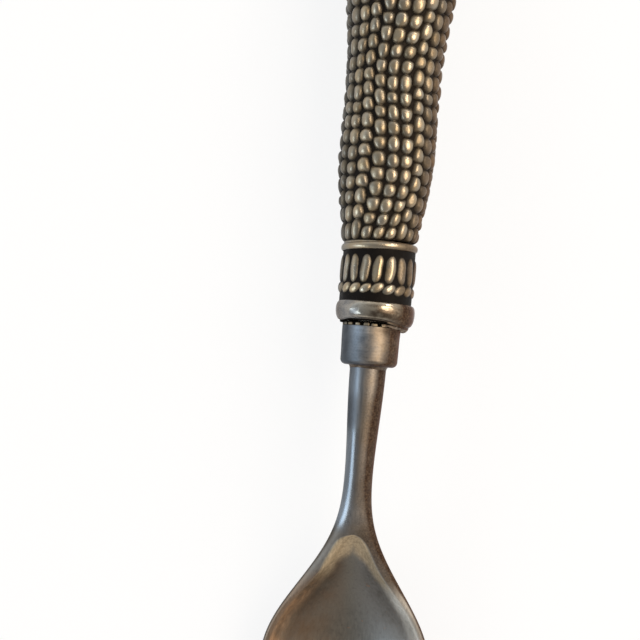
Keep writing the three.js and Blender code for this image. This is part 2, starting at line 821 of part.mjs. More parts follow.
// Cement: fills the ferrule, the collar and the cob round the tang.
function cementCore() {
  const passage = Math.min(collarBore, spigotBore) - bondLine;
  const sleeveBore = ferruleBore - bondLine - sleeveWall - bondLine;
  const base = ferruleFloor + bondLine;
  const sleeveStart = ferruleLength - sleeveDepth - bondLine;
  const fill = turned([
    [0, base],
    [ferruleBore - bondLine, base],
    [ferruleBore - bondLine, sleeveStart],
    [sleeveBore, sleeveStart],
    [sleeveBore, crownStart + crownBase],
    [passage, collarStart],
    ...hollowProfile(bondLine),
  ], coreFacets);
  const top = shankEntry + tangLength + bondLine;
  const room = turned([
    [0, base - cutMargin],
    [tangRootRadius + bondLine, base - cutMargin],
    [tangEndRadius + bondLine, top],
    [0, top],
  ], coreFacets);
  return fill.subtract(room);
}

// Assembly

const head = bowlAndShank();
const cobSolid = cob();

// Lowest point of a solid once the spoon is tipped by an angle: [y, z] before tipping.
function lowestPoint(solid, tip) {
  const { vertProperties, numVert } = solid.getMesh();
  let lowest = [0, Infinity, Infinity];
  for (let i = 0; i < numVert; i++) {
    const y = vertProperties[3 * i + 1];
    const z = vertProperties[3 * i + 2];
    const height = y * Math.sin(tip) + z * Math.cos(tip);
    if (height < lowest[2]) lowest = [y, z, height];
  }
  return lowest;
}

// The angle at which the bowl and the cob touch one table, with the flat under the bowl ground off.
function restAngle() {
  let tip = 0;
  for (let i = 0; i < restingRounds; i++) {
    const bowl = lowestPoint(head, tip);
    const butt = lowestPoint(cobSolid, tip);
    tip = Math.atan2(bowl[1] + restFlatDepth - butt[1], butt[0] - bowl[0]);
  }
  return tip;
}

const tip = restAngle();

function groundHead() {
  const tableHeight = lowestPoint(cobSolid, tip)[2];
  const stone = new THREE.BoxGeometry(4 * bowlHalfWidth, 2 * bowlTip, stoneThickness);
  stone.translate(0, -bowlTip, tableHeight - stoneThickness / 2);
  stone.rotateX(-tip);
  return head.subtract(solidOf(stone));
}

const spoon = new THREE.Group();
spoon.rotation.x = tip;
spoon.add(
  namedMesh("bowl_and_shank", groundHead(), steel),
  namedMesh("ferrule", ferrule(), steel),
  namedMesh("ferrule_solder", ferruleSolder(), solderAlloy),
  namedMesh("toothed_ring", toothedRing(), pewter),
  namedMesh("collar", collar(), pewter),
  namedMesh("seam_ring", seamRing(), pewter),
  namedMesh("cob", cobSolid, pewter),
  namedMesh("end_button", endButton(), pewter),
  namedMesh("cement_core", cementCore(), cement),
);

// The origin is under the middle of the spoon, on the table.
const bounds = new THREE.Box3().setFromObject(spoon, true);
const middle = bounds.getCenter(new THREE.Vector3());
spoon.position.set(-middle.x, -middle.y, -bounds.min.z);

const part = new THREE.Group();
part.add(spoon);

export default part;
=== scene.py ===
"""Surfaces and finishes of a table spoon with a corn-cob handle, laid round its CAD frame.

Shapes are worked out in millimetres along the handle's own axes: x across, y up the handle from the lower
face of the ferrule, z out of the open side of the bowl. place() sets them into the frame, in metres.
"""

import math

import bmesh
import bpy
import numpy as np
from bpy.props import FloatProperty, FloatVectorProperty, IntProperty, PointerProperty
from mathutils import Matrix, Vector


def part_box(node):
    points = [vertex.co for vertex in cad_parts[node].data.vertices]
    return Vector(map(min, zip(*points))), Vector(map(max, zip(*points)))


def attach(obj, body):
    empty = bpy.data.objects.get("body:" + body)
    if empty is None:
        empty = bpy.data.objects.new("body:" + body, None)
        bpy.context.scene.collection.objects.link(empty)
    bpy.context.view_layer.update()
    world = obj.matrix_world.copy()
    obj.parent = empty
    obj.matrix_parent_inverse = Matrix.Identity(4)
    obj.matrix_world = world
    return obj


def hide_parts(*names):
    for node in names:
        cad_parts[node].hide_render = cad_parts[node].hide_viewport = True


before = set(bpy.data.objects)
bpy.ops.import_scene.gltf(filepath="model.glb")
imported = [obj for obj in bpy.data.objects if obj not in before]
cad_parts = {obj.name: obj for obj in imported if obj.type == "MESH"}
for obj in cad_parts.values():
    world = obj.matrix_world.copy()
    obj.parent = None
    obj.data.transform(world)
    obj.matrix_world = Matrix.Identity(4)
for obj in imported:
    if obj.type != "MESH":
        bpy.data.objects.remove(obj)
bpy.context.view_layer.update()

bl_info = {
    "name": "Corn-cob spoon",
    "version": (1, 0, 0),
    "blender": (4, 5, 0),
    "location": "3D View > Sidebar > Spoon",
    "description": "Builds the surfaces and finishes of a spoon with a cast corn-cob handle",
    "category": "Add Mesh",
}

MM = 0.001  # metres in a millimetre
WELD = 1e-7  # metres between points that are merged


# The handle's axes, found from the frame

def vertex_rows(mesh, what):
    """The coordinates ("co") or normals ("normal") of a mesh's vertices, three numbers to a row."""
    flat = np.empty(len(mesh.vertices) * 3, np.float32)
    mesh.vertices.foreach_get(what, flat)
    return flat.reshape(-1, 3)


def corner_points(node):
    """The different corners of a CAD node, in metres."""
    corners = vertex_rows(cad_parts[node].data, "co")
    return np.unique(corners.round(7), axis=0).astype(float)


def handle_axes():
    """The ferrule's foot on the handle axis, and the rows across, along and outward. The ferrule and the seam
    ring are turned pieces, so the mean of each one's corners lies on the axis."""
    ferrule = corner_points("ferrule")
    centre = ferrule.mean(axis=0)
    along = corner_points("seam_ring").mean(axis=0) - centre
    along /= np.linalg.norm(along)
    across = np.array([1.0, 0.0, 0.0])
    foot = centre + along * ((ferrule - centre) @ along).min()
    return foot, np.stack([across, along, np.cross(across, along)])


FOOT, AXES = handle_axes()


def place(points):
    """Points along the handle's axes in millimetres, as points of the frame in metres."""
    return FOOT + MM * (points @ AXES)


def span(node):
    """Lowest and highest station of a CAD node along the handle, in millimetres."""
    stations = (corner_points(node) - FOOT) @ AXES[1] / MM
    return stations.min(), stations.max()


def reach(node):
    """Largest distance of a CAD node from the handle axis, in millimetres."""
    local = (corner_points(node) - FOOT) @ AXES.T / MM
    return np.hypot(local[:, 0], local[:, 2]).max()


# Places that the pieces share, in millimetres along the handle, and radii
BOND_LINE = 0.15
FERRULE_LENGTH = span("ferrule")[1]
FERRULE_RADIUS = reach("ferrule")
FERRULE_BORE = FERRULE_RADIUS - 0.8
CROWN_TOP = span("toothed_ring")[1]
COLLAR_START, COLLAR_END = span("collar")
SOCKET_MOUTH, SOCKET_FOOT = 5.2, 4.6  # radii of the hole in the collar, at its upper and its lower end
COB_START = span("seam_ring")[1] + BOND_LINE
COB_END = span("cob")[1]
BEADED_RADIUS = reach("seam_ring")


# Numbers and curves

def mix(a, b, t):
    """The number that is the share t of the way from a to b."""
    return a + (b - a) * t


def smooth_step(low, high, x):
    """0 at low, 1 at high and 3t^2 - 2t^3 between them. With low above high it falls."""
    t = np.clip((x - low) / (high - low), 0, 1)
    return t * t * (3 - 2 * t)


def scatter(column, row):
    """A repeatable number from 0 to 1: the fraction of a fast sine of column and row."""
    wave = np.sin(column * 12.9898 + row * 78.233) * 43758.5453
    return wave - np.floor(wave)


def spline(points):
    """Natural cubic spline through (x, y) points, held level beyond both ends. Between two points it is the
    straight line plus the cubic whose second derivative runs from one point's bend to the next one's."""
    xs, ys = np.array(points, float).T
    gaps = np.diff(xs)
    slopes = np.diff(ys) / gaps
    system = np.eye(len(xs))
    target = np.zeros(len(xs))
    for i in range(1, len(xs) - 1):
        system[i, i - 1:i + 2] = gaps[i - 1], 2 * (gaps[i - 1] + gaps[i]), gaps[i]
        target[i] = 6 * (slopes[i] - slopes[i - 1])
    bends = np.linalg.solve(system, target)

    def value(x):
        x = np.clip(x, xs[0], xs[-1])
        i = np.clip(np.searchsorted(xs, x) - 1, 0, len(gaps) - 1)
        b = (x - xs[i]) / gaps[i]
        a = 1 - b
        cubic = ((a**3 - a) * bends[i] + (b**3 - b) * bends[i + 1]) * gaps[i] ** 2 / 6
        return a * ys[i] + b * ys[i + 1] + cubic

    return value


def arc(centre, radii, start, end, count):
    """Points of an ellipse in a profile: centre plus radii times cosine and sine, angles in degrees."""
    angles = np.radians(np.linspace(start, end, count))
    return np.stack([centre[0] + radii[0] * np.cos(angles), centre[1] + radii[1] * np.sin(angles)], axis=1)


def line(start, end, count):
    """Points of a straight stretch of a profile, without its last one."""
    share = np.linspace(0, 1, count, endpoint=False)[:, None]
    return mix(np.array(start, float), np.array(end, float), share)


def ripple(angle, station, seed):
    """Low uneven swell from -1 to 1: a mean of sines that turn round the axis and run along it."""
    waves = 6
    total = np.zeros(np.broadcast(angle, station).shape)
    for wave in range(waves):
        turns = 1 + int(scatter(wave, seed) * 5)
        pace = 0.35 + 1.4 * scatter(wave, seed + 1)
        total = total + np.sin(turns * angle + pace * station + 6.3 * scatter(wave, seed + 2))
    return total / waves


# Meshes

def grid_faces(rows, columns, rows_close):
    """Quads of a grid whose columns close round the axis. Corners run along a row, then up to the next."""
    i = np.arange(rows if rows_close else rows - 1)[:, None]
    j = np.arange(columns)[None, :]
    up = (i + 1) % rows
    right = (j + 1) % columns
    corners = [i * columns + j, i * columns + right, up * columns + right, up * columns + j]
    return np.stack(corners, axis=-1).reshape(-1, 4)


def grid_object(name, points, rows_close=False, **attributes):
    """A smooth object from a grid of points (rows, columns, 3) in metres. Rows that lie in one point become
    poles, and rows that fold onto themselves close. Attributes are grids of numbers."""
    rows, columns = points.shape[:2]
    mesh = bpy.data.meshes.new(name)
    mesh.from_pydata(points.reshape(-1, 3).tolist(), [], grid_faces(rows, columns, rows_close).tolist())
    for title, values in attributes.items():
        layer = mesh.attributes.new(title, "FLOAT", "POINT")
        layer.data.foreach_set("value", np.broadcast_to(values, (rows, columns)).ravel().astype(np.float32))
    welded = bmesh.new()
    welded.from_mesh(mesh)
    bmesh.ops.remove_doubles(welded, verts=welded.verts, dist=WELD)
    welded.to_mesh(mesh)
    welded.free()
    mesh.polygons.foreach_set("use_smooth", np.ones(len(mesh.polygons), bool))
    piece = bpy.data.objects.new(name, mesh)
    bpy.context.scene.collection.objects.link(piece)
    return piece


def grid_piece(name, points, **options):
    """The same from a grid of points along the handle's axes in millimetres."""
    return grid_object(name, place(points.reshape(-1, 3)).reshape(points.shape), **options)


def lift_to_floor(piece):
    """Flattens what would dip under the floor, as the bowl is worn flat where it rests."""
    points = vertex_rows(piece.data, "co")
    points[:, 2] = np.maximum(points[:, 2], 0)
    piece.data.vertices.foreach_set("co", points.ravel())
    piece.data.update()


def set_facing(piece):
    """Stores which way each point of a plain piece faces: the z and the x of its normal."""
    normals = vertex_rows(piece.data, "normal")
    for title, axis in (("facing", 2), ("right", 0)):
        layer = piece.data.attributes.new(title, "FLOAT", "POINT")
        layer.data.foreach_set("value", np.ascontiguousarray(normals[:, axis]))


def turn_profile(profile, columns):
    """Angle, radius and station grids of a profile of (radius, station) points carried round the axis."""
    angle = np.linspace(0, 2 * np.pi, columns, endpoint=False)[None, :]
    radius = np.broadcast_to(profile[:, :1], (len(profile), columns))
    station = np.broadcast_to(profile[:, 1:], (len(profile), columns))
    return angle, radius, station


def round_axis(angle, radius, station):
    """Points at an angle from the top of the spoon towards +X: x = r sin a, y = station, z = r cos a."""
    angle, radius, station = np.broadcast_arrays(angle, radius, station)
    return np.stack([radius * np.sin(angle), station, radius * np.cos(angle)], axis=-1)


def facing_round(angle):
    """The facing and right attributes of a beaded piece, from the angle round the axis alone."""
    return {"facing": np.cos(angle), "right": np.sin(angle)}


def finish_piece(piece, material, slot, *nodes):
    """Gives a piece its material, sets it on the body and lets it stand for its CAD nodes."""
    piece.data.materials.append(material)
    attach(piece, "root")
    if nodes:
        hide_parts(*nodes)


# Materials

class NodeTree:
    """A tree of shader nodes under construction. The methods make nodes and return their output sockets, and
    wherever they take a number or a colour they also take a socket, which they link."""

    def __init__(self, owner):
        owner.use_nodes = True
        self.tree = owner.node_tree
        self.tree.nodes.clear()

    def add(self, kind, options=(), **inputs):
        """A new node. An input goes by its name, with _ for a space, or by its place, as _0 or _1."""
        node = self.tree.nodes.new("ShaderNode" + kind)
        for key, value in dict(options).items():
            setattr(node, key, value)
        for key, value in inputs.items():
            socket = node.inputs[int(key[1:])] if key[0] == "_" else node.inputs[key.replace("_", " ")]
            if isinstance(value, bpy.types.NodeSocket):
                self.tree.links.new(value, socket)
            else:
                socket.default_value = value
        return node

    def ramp(self, value, *stops):
        """Greys or colours by value, straight between the stops, which are (value, grey or colour)."""
        node = self.add("ValToRGB", _0=value)
        while len(node.color_ramp.elements) < len(stops):
            node.color_ramp.elements.new(1.0)
        for element, (position, colour) in zip(node.color_ramp.elements, stops):
            element.position = position
            element.color = (colour,) * 3 + (1,) if isinstance(colour, float) else tuple(colour)[:3] + (1,)
        return node.outputs["Color"]

    def maths(self, operation, a, b, c=0.5):
        """One of Blender's operations on a and b. MULTIPLY_ADD gives a times b plus c."""
        return self.add("Math", {"operation": operation}, _0=a, _1=b, _2=c).outputs[0]

    def times(self, a, b):
        return self.maths("MULTIPLY", a, b)

    def blend(self, fac, a, b, kind="MIX"):
        """Colour a turning into colour b as the factor goes from 0 to 1."""
        node = self.tree.nodes.new("ShaderNodeMix")
        node.data_type = "RGBA"
        node.blend_type = kind
        for socket, value in ((node.inputs[0], fac), (node.inputs[6], a), (node.inputs[7], b)):
            if isinstance(value, bpy.types.NodeSocket):
                self.tree.links.new(value, socket)
            else:
                socket.default_value = value if isinstance(value, float) else tuple(value)[:3] + (1,)
        return node.outputs[2]

    def tint(self, colour, by):
        """The colour times a grey or another colour."""
        return self.blend(1.0, colour, by, "MULTIPLY")


class Finish(NodeTree):
    """A material under construction."""

    def __init__(self, name):
        self.material = bpy.data.materials.new(name)
        super().__init__(self.material)

    def attribute(self, name):
        """The number that a mesh stores at each point under this name."""
        return self.add("Attribute", {"attribute_name": name}).outputs["Fac"]

    def noise(self, size, detail, stretch=(1, 1, 1)):
        """Noise whose lumps are about size metres across, drawn out by the stretch along each axis."""
        coordinates = self.add("TexCoord").outputs["Object"]
        scale = tuple(1 / s for s in stretch)
        vector = self.add("Mapping", Vector=coordinates, Scale=scale).outputs["Vector"]
        node = self.add("TexNoise", Vector=vector, Scale=1 / size, Detail=detail, Roughness=0.55)
        return node.outputs["Fac"]

    def bump(self, height, depth, strength, normal=None):
        """The surface's normal, or the given one, tilted by a height that runs from 0 to depth in metres."""
        inputs = {"Height": height, "Distance": depth, "Strength": strength}
        if normal is not None:
            inputs["Normal"] = normal
        return self.add("Bump", **inputs).outputs["Normal"]

    def by_side(self, left, right, low=0.4, high=0.6):
        """A value for the left side and one for the right. The change lies between low and high, on a scale
        from 0 where the surface faces left to 1 where it faces right."""
        across = self.maths("MULTIPLY_ADD", self.attribute("right"), 0.5)
        return self.ramp(across, (low, left), (high, right))

    def painted_side_reflection(self, colour, looks, amount, right, left, left_colour=None, reflection_shift=0.0):
        """Painted reflection on the sides of the spoon: the colour darkens towards both sides, on the right
        to brown with paler speckles and a red edge, a painted reflection of a brown table, and on the left to
        grey or left_colour, a painted dark reflection. The facing attribute is the z of the way out, and a
        side's two numbers are the z at which it is quite dark and the z at which it starts. The last argument
        is added to facing, so that it holds the painted reflection back. Also returns how much bare metal
        shows."""
        facing = self.maths("ADD", self.maths("ABSOLUTE", self.attribute("facing"), 0.0), reflection_shift)
        patches = self.ramp(self.noise(0.0016, 4.0), (0.3, 0.86), (0.6, 1.0))
        speckles = self.ramp(self.noise(0.00035, 2.0), (0.42, 0.0), (0.68, 0.6))
        brown = self.ramp(facing, (right[0], 1.0), (right[1], 0.0))
        grey = self.ramp(facing, (left[0], 1.0), (left[1], 0.0))
        on_right = self.by_side(0.0, 1.0)
        share = self.times(self.blend(on_right, grey, brown), patches)
        share = self.maths("MINIMUM", self.times(share, amount), 1.0)
        # Painted reflection: brown with speckles and a red edge on the right, grey on the left.
        brown_reflection = self.blend(speckles, looks.brown_reflection_colour, looks.reflection_speckle_colour)
        at_edge = self.ramp(facing, (0.2, 0.9), (0.5, 0.0))
        brown_reflection = self.blend(at_edge, brown_reflection, looks.red_edge_reflection_colour)
        grey_reflection = looks.grey_reflection_colour if left_colour is None else left_colour
        side = self.blend(on_right, grey_reflection, brown_reflection)
        return self.blend(share, colour, side), self.maths("MULTIPLY_ADD", share, -0.92, 1.0)

    def close(self, **inputs):
        """Ends the material in a Principled shader with these inputs."""
        shader = self.add("BsdfPrincipled", **inputs)
        self.add("OutputMaterial", Surface=shader.outputs[0])
        return self.material


def outer_steel(m, looks, flank, polish):
    """Colour and bare metal of the outside: cool on the left; on the right warm, a painted warm reflection,
    and grained; darkened towards both sides by the painted side reflection where the polish isn't kept; and
    with a painted orange reflection on the left rim."""
    clouds = m.noise(0.007, 4.0)
    # Painted warm reflection on the right side and on the neck's flank, in clouds.
    warm_reflection = m.times(m.by_side(0.0, 1.0, 0.2, 0.48), m.ramp(clouds, (0.4, 0.7), (0.6, 1.0)))
    warm_reflection = m.maths("MAXIMUM", warm_reflection, m.times(flank, 0.75))
    tone = m.tint(m.blend(warm_reflection, looks.steel_colour, looks.warm_reflection_steel_colour), m.attribute("gleam"))
    grains = m.ramp(m.noise(0.0003, 2.0), (0.36, 0.84), (0.66, 1.16))
    tone = m.tint(tone, m.blend(m.by_side(0.0, 1.0, 0.42, 0.6), (1.0, 1.0, 1.0), grains))
    # Where the polish is kept, on the left and facing up, the painted side reflection is held back.
    kept = m.ramp(m.maths("ABSOLUTE", m.attribute("facing"), 0.0), (0.2, 0.0), (0.5, 1.0))
    kept = m.times(kept, m.times(polish, m.by_side(1.0, 0.0)))
    side_reflection_amount = m.maths("MULTIPLY_ADD", kept, -0.6, 0.97)
    flank_reflection = m.blend(flank, looks.grey_reflection_colour, looks.flank_reflection_colour)
    colour, bare = m.painted_side_reflection(tone, looks, side_reflection_amount, (0.82, 0.995), (0.55, 0.97), flank_reflection,
                             m.attribute("reflection_shift"))
    # The rim rust on the left rim is a painted orange reflection.
    return m.blend(m.times(m.attribute("rim_orange_reflection"), 0.75), colour, looks.rim_reflection_colour), bare


def hollow_steel(m, looks, streaks):
    """Colour and bare metal of the hollow: lighter on the right wall and warm in mottles on the left wall,
    both painted reflection, with rust flecks, a painted orange reflection along the left edge, and the brow,
    a painted tan reflection."""
    mottles = m.noise(0.0035, 4.0, stretch=(1, 1.6, 1))
    tan_reflection = m.attribute("tan_reflection")
    # Painted reflection: the left wall, facing right, turns warm in mottles; the right wall, facing left,
    # lighter.
    reflections_and_hollow = m.times(m.by_side(0.0, 1.0, 0.5, 0.72), m.ramp(mottles, (0.3, 0.45), (0.66, 1.0)))
    clean = m.blend(m.by_side(1.0, 0.0, 0.3, 0.5), looks.hollow_colour, looks.right_wall_reflection_colour)
    hollow_shading = m.blend(reflections_and_hollow, clean, looks.left_wall_reflection_colour)
    # Painted orange reflection along the left edge; the flecks are rust.
    orange_reflection = m.times(m.attribute("orange_reflection"), m.ramp(mottles, (0.35, 0.35), (0.62, 1.0)))
    flecks = m.times(m.ramp(m.noise(0.0016, 3.0), (0.66, 0.0), (0.72, 0.6)), m.by_side(1.0, 0.2))
    hollow_shading = m.blend(m.maths("MAXIMUM", orange_reflection, flecks), hollow_shading, looks.rust_and_reflection_colour)
    grain = m.tint(m.ramp(streaks, (0.3, 0.84), (0.7, 1.1)), m.ramp(mottles, (0.35, 0.86), (0.65, 1.06)))
    film = m.maths("MAXIMUM", orange_reflection, tan_reflection)
    return m.blend(tan_reflection, hollow_shading, m.tint(looks.tan_reflection_colour, grain)), m.maths("MULTIPLY_ADD", film, -0.6, 1.0)


def worn_steel_with_painted_light(looks):
    """Polished steel that use has dulled, with fine scratches along it, and painted light: the painted side
    reflection outside, and painted reflections in the hollow. In the hollow it is satin, and a painted pale
    highlight, the sheen, lies over its right edge. The attributes are those of bowl_grid() and of the shank's
    polish and painted light."""
    m = Finish("worn_steel_with_painted_light")
    streaks = m.noise(0.0004, 3.0, stretch=(1, 14, 1))
    hollow, sheen, polish = m.attribute("hollow"), m.attribute("sheen"), m.attribute("polish")
    outside, outside_metal = outer_steel(m, looks, m.attribute("flank"), polish)
    inside, inside_metal = hollow_steel(m, looks, streaks)
    is_inside = m.ramp(hollow, (0.0, 0.0), (0.3, 1.0))
    # The sheen is a painted pale highlight over the right edge and wall of the hollow.
    colour = m.blend(sheen, m.blend(is_inside, outside, inside), looks.sheen_colour)
    colour = m.tint(colour, m.ramp(m.noise(0.0006, 3.0), (0.3, 0.88), (0.42, 1.0)))
    colour = m.tint(colour, m.ramp(streaks, (0.3, 0.82), (0.7, 1.02)))
    metal = m.blend(sheen, m.blend(is_inside, outside_metal, inside_metal), (0.45, 0.45, 0.45))
    polished = m.times(m.by_side(1.0, 0.0, 0.36, 0.56), polish)
    outer = m.blend(polished, (looks.dull_steel_roughness,) * 3, (looks.steel_roughness,) * 3)
    satin = m.blend(m.ramp(hollow, (0.0, 0.0), (0.9, 1.0)), outer, (looks.hollow_roughness,) * 3)
    rough = m.times(m.ramp(streaks, (0.3, 0.85), (0.7, 1.2)), satin)
    scratches = m.bump(streaks, 0.00002, 0.3)
    return m.close(Base_Color=colour, Metallic=metal, Roughness=rough, Specular_IOR_Level=0.05,
                   Normal=m.bump(m.noise(0.007, 4.0), 0.0002, 0.2, scratches))


def ferrule_steel(looks):
    """The ferrule's steel: brushed round the axis, with a painted tan highlight on its right side and the
    painted side reflection. The gleam attribute, a painted highlight and shade, lightens or darkens it, and
    the smudge attribute darkens it near the smeared solder."""
    m = Finish("ferrule_steel")
    clouds = m.noise(0.003, 5.0)
    grain = m.noise(0.0004, 3.0, stretch=(5, 1, 5))
    specks = m.noise(0.0004, 3.0)
    # Painted tan highlight on the right side, in clouds.
    warm_reflection = m.times(m.by_side(0.0, 1.0, 0.3, 0.6), m.ramp(clouds, (0.35, 0.5), (0.6, 1.0)))
    colour = m.blend(warm_reflection, looks.steel_colour, looks.tan_highlight_colour)
    # The gleam is a painted highlight and shade along the ferrule.
    for shade in (m.ramp(specks, (0.32, 0.8), (0.5, 1.0)), m.ramp(clouds, (0.36, 0.76), (0.58, 1.0)),
                  m.ramp(grain, (0.35, 0.9), (0.65, 1.08)), m.attribute("gleam")):
        colour = m.tint(colour, shade)
    # Darker near the smeared solder, towards the right of the mouth.
    smudge = m.times(m.attribute("smudge"), m.ramp(specks, (0.35, 0.6), (0.6, 0.95)))
    colour = m.blend(smudge, colour, looks.dull_pewter_and_shade_colour)
    colour, bare = m.painted_side_reflection(colour, looks, 0.98, (0.7, 0.92), (0.62, 0.97))
    rough = m.ramp(clouds, (0.35, 0.38), (0.65, 0.52))
    return m.close(Base_Color=colour, Metallic=bare, Roughness=rough, Specular_IOR_Level=0.05,
                   Normal=m.bump(clouds, 0.00015, 0.3, m.bump(grain, 0.00002, 0.4)))


def polished_pewter(looks):
    """The bulge's pewter: bright, with dull mottles; worn, a painted dark reflection, lies as a mottled band
    across its lower middle; the left side has a painted cool reflection, and both sides the painted side
    reflection.
    The tone attribute runs from 0 at the lower lip, painted dull as shade, to 1 at the top, and relief is 0
    where the lip is painted black as the shadow under the bulge."""
    m = Finish("polished_pewter")
    relief = m.attribute("relief")
    height = m.attribute("tone")
    mottles = m.noise(0.0012, 5.0, stretch=(1.8, 1, 1))
    grain = m.noise(0.0004, 3.0)
    bare = m.ramp(relief, (0.1, 0.0), (0.5, 1.0))
    # Painted dark reflection: worn is a mottled band across the lower middle of the bulge.
    band = m.maths("MULTIPLY_ADD", mottles, 0.35, m.maths("SUBTRACT", height, 0.175))
    dark_reflection_band = m.ramp(band, (0.12, 0.15), (0.26, 1.0), (0.42, 1.0), (0.6, 0.0))
    worn = m.times(dark_reflection_band, m.ramp(mottles, (0.42, 1.0), (0.64, 0.25)))
    shade = m.blend(m.ramp(mottles, (0.36, 0.0), (0.56, 1.0)), looks.dull_pewter_and_shade_colour, looks.pewter_colour)
    # Painted shade: the lower lip is dull.
    lip = m.ramp(height, (0.08, 0.8), (0.24, 0.0))
    shade = m.blend(m.maths("MAXIMUM", worn, lip), shade, looks.dull_pewter_and_shade_colour)
    # Painted cool reflection on the left side.
    shade = m.blend(m.by_side(0.75, 0.0, 0.1, 0.45), shade, looks.cool_reflection_pewter_colour)
    # Painted side reflection towards both sides.
    shade, clean = m.painted_side_reflection(shade, looks, 1.08, (0.64, 0.9), (0.3, 0.78), looks.dull_pewter_and_shade_colour)
    colour = m.blend(bare, looks.patina_colour, shade)
    metal = m.times(clean, m.ramp(bare, (0.1, 0.0), (0.6, 1.0)))
    rough = m.maths("MULTIPLY_ADD", lip, 0.3, m.ramp(mottles, (0.35, 0.34), (0.6, 0.13)))
    return m.close(Base_Color=colour, Metallic=metal, Roughness=rough,
                   Specular_IOR_Level=m.ramp(bare, (0.1, 0.0), (0.6, 0.05)),
                   Normal=m.bump(mottles, 0.00014, 0.35, m.bump(grain, 0.00003, 0.35)))


def antique_pewter(name, looks, patina, crest_low, crest_high, right):
    """Cast pewter under a black patina that is rubbed off the crests. The relief attribute runs from 0 in the
    grooves to 1 on the crests: it is black below crest_low and bare above crest_high, with an edge that noise
    makes uneven. The tone attribute is each bead's own, and right is the pair of the painted side reflection
    for the right side."""
    m = Finish(name)
    relief = m.attribute("relief")
    tone = m.attribute("tone")
    grain = m.noise(0.00045, 4.0)
    clouds = m.noise(0.0022, 3.0)
    uneven = m.maths("ADD", relief, m.times(m.maths("SUBTRACT", grain, 0.5), 0.25))
    bare = m.ramp(uneven, (crest_low, 0.0), (mix(crest_low, crest_high, 0.4), 0.36), (crest_high, 1.0))
    shade = m.blend(m.ramp(clouds, (0.35, 0.0), (0.65, 1.0)), looks.pewter_colour, looks.warm_pewter_colour)
    # Painted side reflection towards both sides.
    shade, clean = m.painted_side_reflection(shade, looks, 0.75, right, (0.25, 0.8))
    own = m.ramp(tone, (0.0, 0.75), (1.0, 1.1))
    colour = m.blend(bare, patina, m.tint(shade, own))
    rough = m.ramp(bare, (0.0, 0.6), (1.0, looks.pewter_roughness))
    gloss = m.times(rough, m.ramp(clouds, (0.3, 0.85), (0.7, 1.2)))
    metal = m.times(clean, m.ramp(bare, (0.0, 0.5), (0.6, 1.0)))
    return m.close(Base_Color=colour, Metallic=metal, Roughness=gloss, Specular_IOR_Level=0.1,
                   Normal=m.bump(clouds, 0.00012, 0.4, m.bump(grain, 0.00005, 0.5)))


def dull_tin(name, light, dark):
    """Tin solder gone dull and brown, with a grainy skin, in lumps of a light and a dark colour."""
    m = Finish(name)
    lumps = m.noise(0.0009, 4.0)
    grain = m.noise(0.0002, 3.0)
    colour = m.blend(m.ramp(lumps, (0.35, 0.0), (0.65, 1.0)), light, dark)
    rough = m.ramp(grain, (0.3, 0.4), (0.7, 0.62))
    return m.close(Base_Color=colour, Metallic=0.85, Roughness=rough,
                   Normal=m.bump(lumps, 0.0002, 0.5, m.bump(grain, 0.00004, 0.5)))


def filler_cement(looks):
    """Coarse pale cement with sand in it. It fills the hollow handle."""
    m = Finish("filler_cement")
    sand = m.noise(0.0006, 5.0)
    colour = m.blend(m.ramp(sand, (0.35, 0.0), (0.65, 1.0)), looks.cement_colour, (0.45, 0.42, 0.36))
    return m.close(Base_Color=colour, Roughness=0.9, Normal=m.bump(sand, 0.0003, 0.6))


# Bowl and shank

SHANK_ENTRY = 1.4  # into the ferrule
WAIST = 21.0  # station of the shank's thinnest place
NECK = 30.4  # station where the hollow begins
WIDEST = 58.5
TIP = 79.5


def flare(share):
    """A station part of the way from the neck to the widest place of the bowl."""
    return mix(NECK, WIDEST, share)


